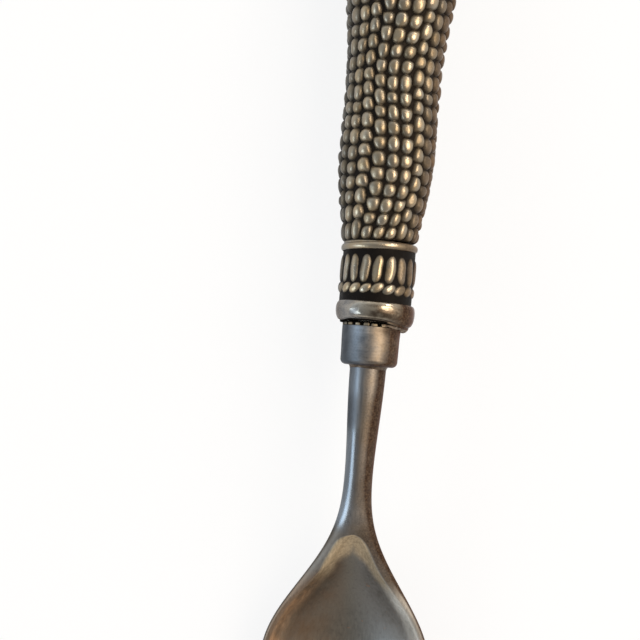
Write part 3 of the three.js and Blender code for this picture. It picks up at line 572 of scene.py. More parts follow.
def bowl_curves(sizes):
    """The curves that shape the bowl and the shank, by station from the ferrule towards the tip. The last one
    is how far the edge of the hollow lies inside the outline, by the root of the share of the flare."""
    top = sizes.shank_radius / MM
    waist = sizes.shank_waist_radius / MM
    half = sizes.bowl_half_width / MM
    depth = sizes.bowl_depth / MM
    rim = sizes.rim_thickness / MM / 2
    flat_waist = 0.92 * waist
    neck_half, neck_thick, neck_drop, bowl_drop, tip_drop = 4.1, 1.75, 2.3, 9.6, 8.9
    wide_edge, thin_edge = 2.0, 0.95
    width = spline([
        (-SHANK_ENTRY, top), (0, top), (0.5 * WAIST, mix(top, waist, 0.52)), (WAIST, waist),
        (mix(WAIST, NECK, 0.5), mix(waist, neck_half, 0.23)), (NECK, neck_half),
        (flare(0.18), mix(neck_half, half, 0.204)), (flare(0.375), mix(neck_half, half, 0.493)),
        (flare(0.57), mix(neck_half, half, 0.773)), (flare(0.75), mix(neck_half, half, 0.943)),
        (WIDEST, half),
    ])
    drop = spline([
        (0, 0), (0.5 * WAIST, 0), (WAIST, 0.15 * neck_drop), (NECK, neck_drop),
        (flare(0.27), mix(neck_drop, bowl_drop, 0.37)), (flare(0.6), mix(neck_drop, bowl_drop, 0.77)),
        (WIDEST, bowl_drop), (mix(WIDEST, TIP, 0.5), mix(bowl_drop, tip_drop, 0.2)), (TIP, tip_drop),
    ])
    thickness = spline([
        (-SHANK_ENTRY, top), (0, top), (0.5 * WAIST, mix(top, flat_waist, 0.5)), (WAIST, flat_waist),
        (NECK, neck_thick), (flare(0.27), mix(neck_thick, rim, 0.6)),
        (flare(0.55), mix(neck_thick, rim, 0.9)), (WIDEST, rim), (TIP, rim),
    ])
    hollow = spline([
        (NECK, 0), (flare(0.07), 0.17 * depth), (flare(0.18), 0.38 * depth), (flare(0.36), 0.67 * depth),
        (flare(0.61), 0.9 * depth), (WIDEST, depth),
    ])
    belly = spline([
        (mix(WAIST, NECK, 0.2), 0), (mix(WAIST, NECK, 0.6), 0.05 * depth), (NECK, 0.18 * depth),
        (flare(0.18), 0.42 * depth), (flare(0.36), 0.67 * depth), (flare(0.61), 0.9 * depth), (WIDEST, depth),
    ])
    rim_reach = spline([
        (0, neck_half), (0.13, mix(wide_edge, neck_half, 0.38)), (0.22, mix(wide_edge, neck_half, 0.1)),
        (0.33, wide_edge), (0.52, wide_edge), (0.65, mix(wide_edge, thin_edge, 0.55)), (0.77, thin_edge),
    ])
    return width, drop, thickness, hollow, belly, rim_reach


def bowl_rays(sizes, width, rim_reach):
    """Columns of the rays that run from the centre line out to the edge of the outline: the station and half
    width of the outer end, the root's station, the length, and how much of it lies in the hollow. Past the
    middle of the flare the roots close up, so that the rays fan round the tip, an ellipse's quarter."""
    fan_start, fan_root = flare(0.5), mix(WIDEST, TIP, 0.17)
    turn = np.linspace(0, np.pi / 2, 56)
    straight = np.concatenate([
        np.linspace(-SHANK_ENTRY, WAIST, 60, endpoint=False),
        np.linspace(WAIST, NECK, 34, endpoint=False),
        flare(np.linspace(0, 1, 100, endpoint=False) ** 1.6),
    ])
    station = np.concatenate([straight, WIDEST + (TIP - WIDEST) * np.sin(turn)])
    half = np.concatenate([width(straight), sizes.bowl_half_width / MM * np.cos(turn)])
    half[-1] = 0
    share = np.clip((station - fan_start) / (TIP - fan_start), 0, 1)
    spread = fan_root - fan_start
    root = np.where(station <= fan_start, station,
                    fan_start + spread * (1 - (1 - share) ** ((TIP - fan_start) / spread)))
    length = np.hypot(half, station - root)
    flare_share = np.clip((station - NECK) / (WIDEST - NECK), 0, None)
    inner = np.maximum(0, length - rim_reach(np.sqrt(flare_share)))
    return [column[:, None] for column in (station, half, root, length, inner)]


def bowl_hollow_and_reflections(x, y, out, station, length, inner):
    """How strongly the hollow and each painted reflection show on one half of the upper side, as a pair for
    the
    right and the left half: the hollow itself; the brow, a painted tan reflection along its edge; the rust, a
    painted orange reflection inside and outside its left edge; and the sheen, a painted pale highlight over
    its right edge and wall. Each is a product of smooth steps of the gap to the edge of the hollow, of the
    station and of x, and ripples make the gap uneven."""
    gap = inner - out
    depth = np.clip(gap, 0, None)
    from_outline = length - out
    off_tip = smooth_step(0.5, 6.5, x)
    nothing = np.zeros_like(out)

    def tan_reflection(gap, middle_band, end_band, fade_start, fade_end):
        """A painted tan reflection: a band along the edge of the hollow that narrows and fades away from the
        neck.
        """
        fading = mix(1, 0.22, smooth_step(fade_start, fade_end, station))
        width = mix(mix(3.9, middle_band, smooth_step(33.6, 36.5, station)), end_band,
                    smooth_step(36.5, 41, station))
        return fading * (1 - smooth_step(0.5 * width, 1.15 * width, gap))

    spill = 0.7 * smooth_step(0, 3, x) * (1 - smooth_step(35.5, 38.5, station))
    in_right = smooth_step(0.0, 0.7, depth)
    in_left = smooth_step(0.0, 0.7, gap + spill)
    tan_reflection_gap = gap + 0.35 * ripple(x / 3, y / 2, 33)

    # Painted orange reflection of warm surroundings on the left wall and rim.
    orange_reflection = smooth_step(3.5, 0.9, depth + 0.8 * ripple(x / 4, y / 3, 41))
    orange_reflection = orange_reflection * smooth_step(36.5, 42, station) * off_tip

    # Painted pale highlight over the right edge of the hollow.
    sheen_gap = gap + 0.3 * ripple(x / 4, y / 3, 43)
    sheen = smooth_step(-1.5, -0.9, sheen_gap) * smooth_step(3.0, 0.7, sheen_gap)
    sheen = sheen * mix(0.42, 1, smooth_step(-0.1, 0.7, sheen_gap))
    sheen = sheen * (smooth_step(38, 43, station) * mix(1, 0.68, smooth_step(43.5, 47, station)))
    sheen = sheen * smooth_step(0.1, 0.5, from_outline)
    # Painted light: the right wall a little lighter.
    wall = 0.075 * in_right * smooth_step(6.5, 2.5, depth) * smooth_step(33, 36, station)

    return {
        "hollow": (in_right, in_left),
        "tan_reflection": (tan_reflection(tan_reflection_gap, 2.5, 2.0, 38, 44) * in_right,
                 tan_reflection(tan_reflection_gap + spill, 3.0, 3.2, 36.5, 41) * in_left),
        "orange_reflection": (nothing, orange_reflection * in_right),
        "rim_orange_reflection": (nothing, orange_reflection * smooth_step(0.05, 0.5, from_outline)),
        "sheen": (np.maximum(sheen * off_tip, wall * smooth_step(2, 5, x)), nothing),
    }


def all_round(on_right, on_left):
    """Numbers of both halves of the upper side as one grid like that of bowl_grid(), with 0 on the back."""
    right, left = [np.concatenate([side, np.zeros_like(side)[:, 1:]], axis=1) for side in (on_right, on_left)]
    whole = np.concatenate([right, left[:, -2:0:-1]], axis=1)[::-1]
    return np.concatenate([whole, whole[-1:]])


def bowl_grid(sizes):
    """The bowl's points and stains. On a ray the height is the rim line, plus or minus a shell that rounds
    off at the edge, less the depth times (1 - (reach / limit) squared) to the power of the fullness."""
    width, drop, thickness, hollow, belly, rim_reach = bowl_curves(sizes)
    station, half, root, length, inner = bowl_rays(sizes, width, rim_reach)

    steps = 46
    crease_steps = 27
    crease = np.maximum(inner, 0.36 * length)
    low = np.sin(np.pi / 2 * np.arange(crease_steps) / crease_steps)[None, :]
    high = np.sin(np.pi / 2 * np.linspace(0, 1, steps - crease_steps + 1))[None, :]
    out = np.concatenate([crease * low, mix(crease, length, high)], axis=1)

    thin = smooth_step(mix(WAIST, NECK, 0.5), flare(0.55), station)
    shell_half = thickness(station)
    edge = mix(length, shell_half, thin)
    from_edge = np.minimum(length - out, edge) / edge
    shell = shell_half * np.sqrt(np.clip(1 - (1 - from_edge) ** 2, 0, None))
    along = out / length
    middle = -drop(mix(root, station, along))

    def dish(limit, depth):
        """How deep a dish with its edge at the limit is at each point, where its middle has this depth."""
        inside = np.clip(1 - (out / np.maximum(limit, 1e-6)) ** 2, 0, None)
        return np.maximum(0, depth) * np.where(limit > 0, inside**sizes.bowl_fullness, 0)

    soft_brow = smooth_step(-0.4, 1.6, np.clip(inner - out, 0, None))
    upper = middle + shell - dish(inner, hollow(root)) * soft_brow
    lower = middle - shell - dish(length, belly(root))
    x = half * along
    y = -mix(root, station, along)
    right = np.concatenate([np.stack([x, y, upper], -1), np.stack([x, y, lower], -1)[:, -2::-1]], axis=1)
    left = right[:, -2:0:-1] * np.array([-1, 1, 1])
    grid = np.concatenate([right, left], axis=1)[::-1]
    hub = np.zeros((1, grid.shape[1], 3)) + np.array([0, SHANK_ENTRY, 0])
    reflections_and_hollow = bowl_hollow_and_reflections(x, y, out, station, length, inner)
    return np.concatenate([grid, hub]), {key: all_round(*sides) for key, sides in reflections_and_hollow.items()}


# Painted highlight and shade along the shank: darker near 8, brightest at 27 where the streak ends.
SHANK_PAINTED_GLEAM = (
    (0, 0.94), (4, 0.94), (8, 0.76), (13, 0.95), (19, 1), (24, 1.06), (27, 1.26), (29.6, 0.93), (34, 1),
)  # away from the ferrule, and how much lighter the steel is


def shank_polish_and_painted_light(away):
    """Polish and painted light of the steel by its distance from the ferrule: polish is 1 where the left side
    still shines; flank is 1 from the neck on, where the outside is painted warmer and, on the left, darker as
    reflection; rub shifts the painted side reflection, holding it back, or letting it on below 0; and gleam,
    a painted highlight and shade, lightens or darkens the steel."""
    polish = np.maximum(0.4 * (1 - smooth_step(4, 7, away)), smooth_step(10, 13, away))
    flank = smooth_step(27.5, 31, away)
    reflection_shift = 0.08 * (1 - smooth_step(3, 8, away)) - 0.06 * flank
    return {
        "polish": polish * (1 - smooth_step(28, 30.2, away)),
        "flank": flank,
        "reflection_shift": reflection_shift - 0.035 * smooth_step(8, 12, away) * (1 - smooth_step(21, 25, away)),
        "gleam": spline(SHANK_PAINTED_GLEAM)(away),
    }


# Collar

BULGE_TOP = COLLAR_START + 3.3
ROPE_MIDDLE = COLLAR_START + 5.6
FLUTE_MIDDLE = COLLAR_START + 9.0


def bulge_profile(sizes):
    """The lip and the bulge from the lip's inner edge up to the top edge of the bulge: two elliptic arcs that
    meet at the crown."""
    ground = sizes.band_radius / MM
    swell = sizes.bulge_swell / MM
    lip_inset, corner = 0.3, 0.15
    lip = ground - lip_inset
    low = COLLAR_START + 0.4
    crown = mix(low, BULGE_TOP, 0.52)
    return np.concatenate([
        line((SOCKET_FOOT, COLLAR_START), (lip - corner, COLLAR_START), 5),
        arc((lip - corner, COLLAR_START + corner), (corner, corner), -90, 0, 5),
        line((lip, COLLAR_START + corner + 0.01), (lip, low - 0.05), 3),
        arc((lip, crown), (lip_inset + swell, crown - low), -86, 0, 26),
        arc((ground, crown), (swell, BULGE_TOP - crown), 3, 90, 26),
    ])


def soft_least(*heights, soft=0.05):
    """The least of some heights, rounded off where two of them cross."""
    return np.maximum(-soft * np.log(sum(np.exp(-height / soft) for height in heights)), 0)


BEAD_RELIEF = 0.42
BEAD_SINK = 0.22  # how far the edge of a bead lies under the ground


def flute(x, along, bead):
    """An upright bead's height: the root of 1 - (x/a)^2 - |y/b|^3 under a roof of two planes."""
    own = scatter(bead, 4)
    half_width = 1.08 * mix(0.9, 1.02, own)
    half_length = 2.75 * mix(0.94, 1.01, scatter(bead, 5))
    lean = mix(-0.06, 0.1, scatter(bead, 6))
    x = x - lean * along - 0.12 * (own - 0.5)
    x = x + 0.05 * np.sin(1.9 * along + 6 * own)
    height = np.sqrt(np.clip(1 - (x / half_width) ** 2 - np.abs(along / half_length) ** 3, 0, None))
    facet = 1.03 - 0.5 * np.abs(x - 0.22 * half_width) / half_width
    return (BEAD_RELIEF + BEAD_SINK) * soft_least(height, facet, soft=0.08) - BEAD_SINK


def rope(x, along, bead):
    """A slanting bead's height: the root of 1 - (x/a)^2 - (y/b)^2 under a roof of two planes."""
    lean = math.radians(59.6786)
    along = along - 0.25 * (scatter(bead, 9) - 0.5)
    side = x * math.cos(lean) - along * math.sin(lean)
    length = x * math.sin(lean) + along * math.cos(lean)
    size = mix(0.9, 1.06, scatter(bead, 10))
    height = np.sqrt(np.clip(1 - (side / (0.88 * size)) ** 2 - (length / (1.42 * size)) ** 2, 0, None))
    return (BEAD_RELIEF + BEAD_SINK) * np.minimum(height, 0.97 - 0.2 * np.abs(side)) - BEAD_SINK


def row_of_beads(angle, station, radius, count, turn, middle, shape):
    """Largest height of the nearest beads of a row, and the number of the bead that gives it. Shape maps the
    millimetres across and along the axis and the bead's number to a height."""
    pitch = 2 * np.pi / count
    nearest = np.round((angle - turn) / pitch)
    best = np.zeros(np.broadcast(angle, station).shape)
    number = np.zeros_like(best)
    for neighbour in (-1, 0, 1):
        bead = np.mod(nearest + neighbour, count)
        across = angle - turn - (nearest + neighbour) * pitch
        height = shape(radius * across, station - middle, bead)
        number = np.where(height > best, bead, number)
        best = np.maximum(best, height)
    return best, number


def lip_droop(angle, radius, station):
    """How far the lower lip hangs: a little all round, more on the right by a bell curve of the angle, and
    some more on the left."""
    low_side = smooth_step(BULGE_TOP - 0.8, COLLAR_START + 0.2, station) * smooth_step(5.75, 6.05, radius)
    on_right = np.exp(-(((angle - math.radians(72)) / math.radians(36)) ** 2))
    on_left = smooth_step(0.6, 0.95, -np.sin(angle))
    return (0.14 + 0.95 * on_right + 0.35 * on_left) * low_side


def collar_grid(sizes):
    """The collar's profile carried round the axis, with the flutes and the rope raised from its band. Band
    and bulge lie off the axis towards +X by a shift times the sine of the angle. Also returns the relief, the
    tone, the angle, and which quads belong to the bulge."""
    ground = sizes.band_radius / MM
    profile = np.concatenate([
        bulge_profile(sizes),
        line((ground, BULGE_TOP + 0.02), (ground, COLLAR_END - 0.05), 104),
        line((ground, COLLAR_END), (SOCKET_MOUTH, COLLAR_END), 5),
        line((SOCKET_MOUTH, COLLAR_END), (SOCKET_FOOT, COLLAR_START + 0.6), 8),
    ])
    angle, radius, station = turn_profile(profile, 500)
    flutes, flute_number = row_of_beads(angle, station, ground, sizes.flute_count, math.radians(4),
                                        FLUTE_MIDDLE, flute)
    ropes, rope_number = row_of_beads(angle, station, ground, sizes.rope_count, math.radians(5.8),
                                      ROPE_MIDDLE, rope)
    outside = radius >= ground - 0.9
    on_band = smooth_step(BULGE_TOP, BULGE_TOP + 0.1, station)
    on_bulge = 1 - smooth_step(BULGE_TOP - 0.12, BULGE_TOP + 0.05, station)
    raised = np.maximum(np.maximum(flutes, ropes), 0) * on_band * outside
    shift = mix(0.22, sizes.bulge_shift / MM, on_bulge) * np.sin(angle) * outside
    swell = 0.05 * ripple(angle, station, 21) * on_bulge * outside
    height_on_bulge = np.clip((station - COLLAR_START) / (BULGE_TOP - COLLAR_START), 0, 1)
    # Painted shadow: no relief on the lower lip, except on the right, so the patina paints it black as the
    # shadow under the bulge.
    lip_shadow = smooth_step(0.15, 0.06, height_on_bulge) * (1 - smooth_step(0.4, 0.6, np.sin(angle)))
    relief = np.maximum(raised / BEAD_RELIEF, on_bulge * (1 - lip_shadow)) * outside
    number = np.where(flutes > ropes, flute_number, rope_number + 31)
    tone = np.where(on_bulge > 0.5, height_on_bulge, scatter(number, 12))
    points = round_axis(angle, radius + raised + shift + swell,
                        station - lip_droop(angle, radius, station) * outside)
    return points, relief, tone, angle, (station < BULGE_TOP + 0.01) & outside


# Cob

def seam_stray(angle):
    """How far the seam between the collar and the cob strays along the handle: it dips on the left."""
    return 0.3 * np.sin(angle) - 0.25


COB_OUTLINE = (
    (0, 0.02), (4, 0.66), (9.4, 1.5), (15, 1.98), (24.5, 1.9), (32, 2.05), (38.5, 2.55), (44.5, 3.3),
    (54, 4.25), (63, 4.6), (70.5, 3.7), (75.6, 1.6), (78.4, -1), (79.1, -3),
)  # up from the shoulder, and how much wider than there
COLUMN_WANDER = (
    (0, -12), (4, -5), (9, 1), (14, 2), (20, 0), (28, -6.5), (38, -2.5), (46, 0), (60, 4), (80, 6),
)  # up from the shoulder, and degrees round the cob


def cob_meridian(sizes):
    """The cob's outline as a function of the kernel row. A Catmull-Rom curve runs through the outline's
    points; the rows passed are the arc length divided by a kernel's length, which grows a little with the
    radius."""
    knots = np.array(COB_OUTLINE, float) + np.array([0, BEADED_RADIUS])
    ends = np.concatenate([knots[:1], knots, knots[-1:]])
    t = np.linspace(0, 1, 60, endpoint=False)[None, :, None]
    p0, p1, p2, p3 = (ends[i:len(ends) - 3 + i, None, :] for i in range(4))
    v0, v1 = (p2 - p0) / 2, (p3 - p1) / 2
    curve = (2 * p1 - 2 * p2 + v0 + v1) * t**3 + (3 * p2 - 3 * p1 - 2 * v0 - v1) * t**2 + v0 * t + p1
    points = np.concatenate([curve.reshape(-1, 2), knots[-1:]])
    step = np.diff(points, axis=0)
    radius = (points[1:, 1] + points[:-1, 1]) / 2
    size = sizes.kernel_length / MM * (radius / 8.7) ** 0.2
    passed = np.concatenate([[0], np.cumsum(np.hypot(*step.T) / size)])
    rows = int(round(passed[-1]))
    passed *= rows / passed[-1]
    slope = np.arctan2(step[:, 1], step[:, 0])
    slope = np.concatenate([slope[:1], (slope[1:] + slope[:-1]) / 2, slope[-1:]])

    def at(row):
        """Distance up from the shoulder, radius and slope at a row."""
        return tuple(np.interp(row, passed, values) for values in (points[:, 0], points[:, 1], slope))

    return rows, at


def groove_angles(row, at, columns):
    """Angle of every groove at each row, (rows, columns + 1): each column's width waves along the cob, the
    front columns get narrower up the cob, the widths share out the full turn, and the whole wanders."""
    column = np.arange(columns)[None, :]
    up = at(row)[0]
    front = np.cos(2 * np.pi * (column + 0.5) / columns)
    narrower = mix(-0.12, 0.1, smooth_step(8, 44, up))[:, None]
    widths = 1 - narrower * front + 0.08 * np.sin(2 * np.pi * (row[:, None] / 17 + scatter(column, 3)))
    before = np.concatenate([np.zeros((len(row), 1)), np.cumsum(widths, axis=1)], axis=1)
    wander = np.radians(spline(COLUMN_WANDER)(up))
    return 2 * np.pi * before / before[:, -1:] + wander[:, None]


def row_slide(column, row, rows):
    """How far the end of a kernel slides along its column from the even row lines, in kernels."""
    inside = np.clip(np.minimum(row, rows - row) / 1.5, 0, 1)
    return inside * ((scatter(column, 7) - 0.5) * 0.7 + (scatter(column, row + 20) - 0.5) * 0.24)


def crowded(count):
    """Places from 0 to 1 that crowd towards both ends, without the last one."""
    even = np.arange(count) / count
    return mix(even, (1 - np.cos(np.pi * even)) / 2, 0.62)


def kernel_height(u, v, luck):
    """Height from 0 to 1 at the shares u across and v along a kernel's patch. It is a dome, near the root of
    1 - distance squared with the distance (|p|^n + |q|^n)^(1/n), cut by two planes that slope to its sides
    and one that slopes along it, so that a worn kernel gets flat tops and a soft ridge. Luck gives the
    kernel's own number from 0 to 1 for a seed."""
    p = 2 * u - 1 - 0.06 * (luck(31) - 0.5)
    q = 2 * v - 1 - 0.06 * (luck(32) - 0.5)
    wide = mix(0.9, 0.97, luck(33)) * (1 - 0.2 * (luck(34) - 0.5) * q)
    tall = mix(0.96, 1.05, luck(35)) * (1 - 0.2 * (luck(36) - 0.5) * p)
    square = mix(1.9, 2.35, luck(37))
    distance = (np.abs(p / wide) ** square + np.abs(q / tall) ** square) ** (1 / square)
    dome = np.clip(1 - distance**2.1, 0, None) ** 0.5
    ridge = mix(-0.1, 0.4, luck(38))
    roof = 1.02 - mix(0.25, 0.55, luck(39)) * np.maximum(p - ridge, 0)
    roof -= mix(0.25, 0.5, luck(40)) * np.maximum(ridge - p, 0)
    gable = 1.04 - mix(-0.25, 0.3, luck(41)) * q - 0.14 * np.abs(q)
    return np.minimum(soft_least(dome, roof, gable), 1) * mix(0.86, 1.0, luck(42))


def cob_grid(sizes):
    """The cob's skin, where every kernel is a patch of the grid. It lies under the outline by the relief
    times what the kernel's height lacks to 1. Also returns the height, the tone and the angle."""
    columns = sizes.kernel_columns
    rows, at = cob_meridian(sizes)
    across, along = crowded(12), crowded(11)
    row = np.concatenate([(np.arange(rows)[:, None] + along[None, :]).ravel(), [rows]])
    base = np.minimum(np.floor(row), rows - 1)
    column = np.repeat(np.arange(columns), len(across))[None, :]
    u = np.tile(across, columns)[None, :]
    v = (row - base)[:, None]
    r = base[:, None]

    grooves = groove_angles(row, at, columns)
    left, right = grooves[:, column[0]], grooves[:, column[0] + 1]
    angle = mix(left, right, u)

    def slide(which):
        """Slide of a column's kernels, straight between their two ends."""
        which = np.mod(which, columns)
        return mix(row_slide(which, r, rows), row_slide(which, r + 1, rows), v)

    own = slide(column)
    beside = np.where(u < 0.5, slide(column - 1), slide(column + 1))
    toward = np.abs(2 * u - 1) ** 3 / 2
    up, radius, slope = at(row[:, None] + mix(own, beside, toward))

    def luck(seed):
        return scatter(column + 0.37 * seed, r + seed)

    height = kernel_height(u, v, luck)
    drop = sizes.kernel_relief / MM * (1 - height) + 0.02 * ripple(angle, up, 51)
    radius_at = radius - drop * np.cos(slope)
    station = COB_START + up + drop * np.sin(slope) + seam_stray(angle) * (1 - smooth_step(0, 3.5, up))
    points = round_axis(angle, radius_at, station)
    caps = [np.zeros((1, points.shape[1], 3)) + np.array([0, y, 0]) for y in (COB_START, COB_END)]
    points = np.concatenate([caps[0], points, caps[1]])
    height = np.concatenate([height[:1] * 0, height, height[-1:] * 0])
    tone = np.broadcast_to(luck(43), (len(row), points.shape[1]))
    tone = np.concatenate([tone[:1], tone, tone[-1:]])
    angle = np.concatenate([angle[:1], angle, angle[-1:]])
    return points, height, tone, angle


# Small turned pieces

def ferrule_grid(sizes):
    """The ferrule's wall, carried round with a slight swell in its outer face, and closed inside. Also
    returns the smudge, which darkens the steel near the smeared solder, and the gleam, a painted highlight
    and shade that differs along the ferrule and by side."""
    hole = sizes.shank_radius / MM + BOND_LINE
    edge, mouth, foot, floor_top = 1.0, 0.1, -0.12, 1.7
    low = FERRULE_RADIUS - 0.15
    profile = np.concatenate([
        line((hole, foot), (low - edge, foot), 6),
        arc((low - edge, foot + edge), (edge, edge), -90, 0, 18),
        line((low, edge + 0.15), (FERRULE_RADIUS, FERRULE_LENGTH - mouth - 0.05), 40),
        arc((FERRULE_RADIUS - mouth, FERRULE_LENGTH - mouth), (mouth, mouth), 0, 90, 10),
        line((FERRULE_RADIUS - mouth - 0.05, FERRULE_LENGTH), (FERRULE_BORE, FERRULE_LENGTH), 3),
        line((FERRULE_BORE, FERRULE_LENGTH), (FERRULE_BORE, floor_top), 8),
        line((FERRULE_BORE, floor_top), (hole, floor_top), 3),
    ])
    angle, radius, station = turn_profile(profile, 220)
    outside = smooth_step(FERRULE_RADIUS - 0.7, FERRULE_RADIUS - 0.4, radius)
    uneven = ripple(3 * angle, 1.5 * station, 63)
    on_right = angle < 2.6
    under_solder = smooth_step(math.radians(8), math.radians(36), angle + 0.2 * uneven) * on_right
    smudge = under_solder * smooth_step(4.9, 6.5, station + 0.9 * uneven)
    to_mouth = smooth_step(3.5, 6.5, station)
    # Painted highlight and shade: darker towards the foot, lighter on the left near the mouth.
    gleam = mix(mix(0.8, 1.0, smooth_step(0.8, 3.2, station)), 1 + 0.4 * (np.sin(angle) < 0), to_mouth)
    points = round_axis(angle, radius + outside * 0.035 * ripple(angle, 0.7 * station, 61), station)
    return points, smudge * outside, gleam


def solder_grid(sizes):
    """A hollow fillet between the shank and the ferrule whose reach changes a little round the shank."""
    inner = sizes.shank_radius / MM + 0.02
    angle = np.linspace(0, 2 * np.pi, 160, endpoint=False)[None, :]
    reach_out = 0.5 * (1 + 0.25 * ripple(angle, 0.0, 71))
    fall = 0.6 * (1 + 0.3 * ripple(angle, 2.0, 72))
    turn = np.linspace(0, np.pi / 2, 14)[:, None]
    curve_r = inner + reach_out * (1 - np.cos(turn))
    curve_y = -BOND_LINE / 2 - fall * (1 - np.sin(turn))
    back_r = np.stack([inner + reach_out[0], inner + 0 * angle[0]])
    back_y = np.zeros_like(back_r) - 0.02
    return round_axis(angle, np.concatenate([curve_r, back_r]), np.concatenate([curve_y, back_y]))


def tooth_pulses(angle, pitch):
    """Number of the tooth at each angle, and a pulse that is 1 on the tooth. Each tooth has its own width and
    place."""
    number = np.floor(angle / pitch)
    off_middle = angle / pitch - number - 0.5 - 0.16 * (scatter(number, 81) - 0.5)
    half = mix(0.27, 0.37, scatter(number, 82))
    return number, 1 - smooth_step(half - 0.07, half + 0.07, np.abs(off_middle))


def tooth_grid(sizes):
    """The crown between the ferrule and the collar: its outer edge steps up on the teeth, each of which has
    its own height. Behind them a ledge closes the joint up to the collar; it has no relief, so the patina
    paints it black as the shadow in the joint. Also returns the relief and the tone."""
    outer = FERRULE_RADIUS - 0.06
    back = outer - 0.26
    sleeve = FERRULE_BORE - BOND_LINE
    inner = sleeve - 0.6
    base = FERRULE_LENGTH + 0.03
    low = FERRULE_LENGTH - 1.6
    angle = np.linspace(0, 2 * np.pi, sizes.tooth_count * 24, endpoint=False)
    number, pulse = tooth_pulses(angle, 2 * np.pi / sizes.tooth_count)
    gap_floor = 0.15
    height = 0.62 * (CROWN_TOP - base - gap_floor) * pulse * mix(0.75, 1.1, scatter(number, 83))
    top = base + gap_floor + height
    levels = np.linspace(0, 1, 9)[:, None]
    rounded = np.radians(np.linspace(0, 90, 6))[:, None]
    edge = 0.12
    wall = outer - 0.1 * (1 - pulse) + 0.06 * pulse + 0 * levels

    def level(value):
        """A row of the grid at one radius or station."""
        return np.full((1, angle.size), value)

    radius = np.concatenate([level(inner), level(sleeve), level(sleeve), wall,
                             wall[:1] - edge * (1 - np.cos(rounded)), level(back), level(back), level(inner)])
    station = np.concatenate([level(low), level(low), level(base), base + (top - edge - base) * levels,
                              top - edge + edge * np.sin(rounded), top[None, :], level(CROWN_TOP),
                              level(CROWN_TOP)])
    # The ledge behind the teeth gets no relief: painted black as the shadow in the joint.
    relief = pulse * (radius > back + 0.05)
    return round_axis(angle[None, :], radius, station), relief, scatter(number, 84)[None, :]


def smear_grid():
    """A lump of solder that closes the joint on the right of the top side: a bent sausage along the joint
    whose thickness rises and falls with the sine of its length and lumps."""
    share = np.linspace(0, 1, 90)[:, None]
    turn = np.linspace(0, 2 * np.pi, 40, endpoint=False)[None, :]
    angle = np.radians(mix(22, 128, share))
    lumps = 1 + 0.16 * np.sin(23 * share + 1.1) + 0.1 * np.sin(51 * share + 2.0 * np.sin(turn))
    thick = np.sin(np.pi * share) ** 0.6 * lumps
    rise = smooth_step(0.3, 0.75, share)
    station = mix(7.2, 7.55, rise) - thick * mix(0.5, 1.25, rise) * np.sin(turn)
    radius = mix(5.2, 5.75, rise) + thick * mix(0.45, 1.05, rise) * np.cos(turn)
    return round_axis(angle, radius, station)


def ring_grid(sizes):
    """The seam ring: a half-round band, its crown a little uneven. It strays with the seam. Also returns a
    relief that is 1 on its outside."""
    low, high = COLLAR_END + 0.03, COB_START - 0.2
    crown = sizes.ring_crown / MM
    base = BEADED_RADIUS - crown
    profile = np.concatenate([
        line((SOCKET_MOUTH, low), (base, low), 4),
        arc((base, (low + high) / 2), (crown, (high - low) / 2), -88, 88, 30),
        line((base, high), (SOCKET_MOUTH, high), 4),
    ])
    angle, radius, station = turn_profile(profile, 240)
    outside = smooth_step(base - 0.1, base + 0.2, radius)
    uneven = outside * (0.05 * ripple(angle, 0.8 * station, 91) - 0.03)
    shift = 0.15 * np.sin(angle) * outside
    return round_axis(angle, radius + uneven + shift, station + outside * seam_stray(angle)), outside


def button_grid():
    """The domed plug in the butt: a stem in the casting's hole, and a short rim under a low elliptic dome."""
    low, high = span("end_button")
    reach_out = reach("end_button")
    stem = 2.1
    seat = high - 1.7
    rim = 0.5
    profile = np.concatenate([
        [(0, low)],
        line((stem, low), (stem, seat), 5),
        line((stem, seat), (reach_out - 0.1, seat), 4),
        arc((reach_out - 0.1, seat + 0.1), (0.1, 0.1), -90, 0, 4),
        arc((0, seat + rim), (reach_out, high - seat - rim), 0, 90, 30),
    ])
    angle, radius, station = turn_profile(profile, 120)
    cast = 0.03 * ripple(angle, 2 * radius, 95) * np.clip(radius / reach_out, 0, 1)
    return round_axis(angle, radius, station + cast * (station > seat))


# Settings

def length_property(name, description, metres):
    return FloatProperty(name=name, description=description, default=metres, unit="LENGTH", precision=5)


def angle_property(name, description, degrees):
    return FloatProperty(name=name, description=description, default=math.radians(degrees), unit="ROTATION")


def power_property(name, description, watts):
    return FloatProperty(name=name, description=description, default=watts, unit="POWER")


def count_property(name, description, count, least=3):
    return IntProperty(name=name, description=description, default=count, min=least)


def share_property(name, description, share):
    return FloatProperty(name=name, description=description, default=share, min=0, max=1)


def colour_property(name, description, colour):
    return FloatVectorProperty(name=name, description=description, default=colour, size=3, subtype="COLOR",
                               min=0, max=1)


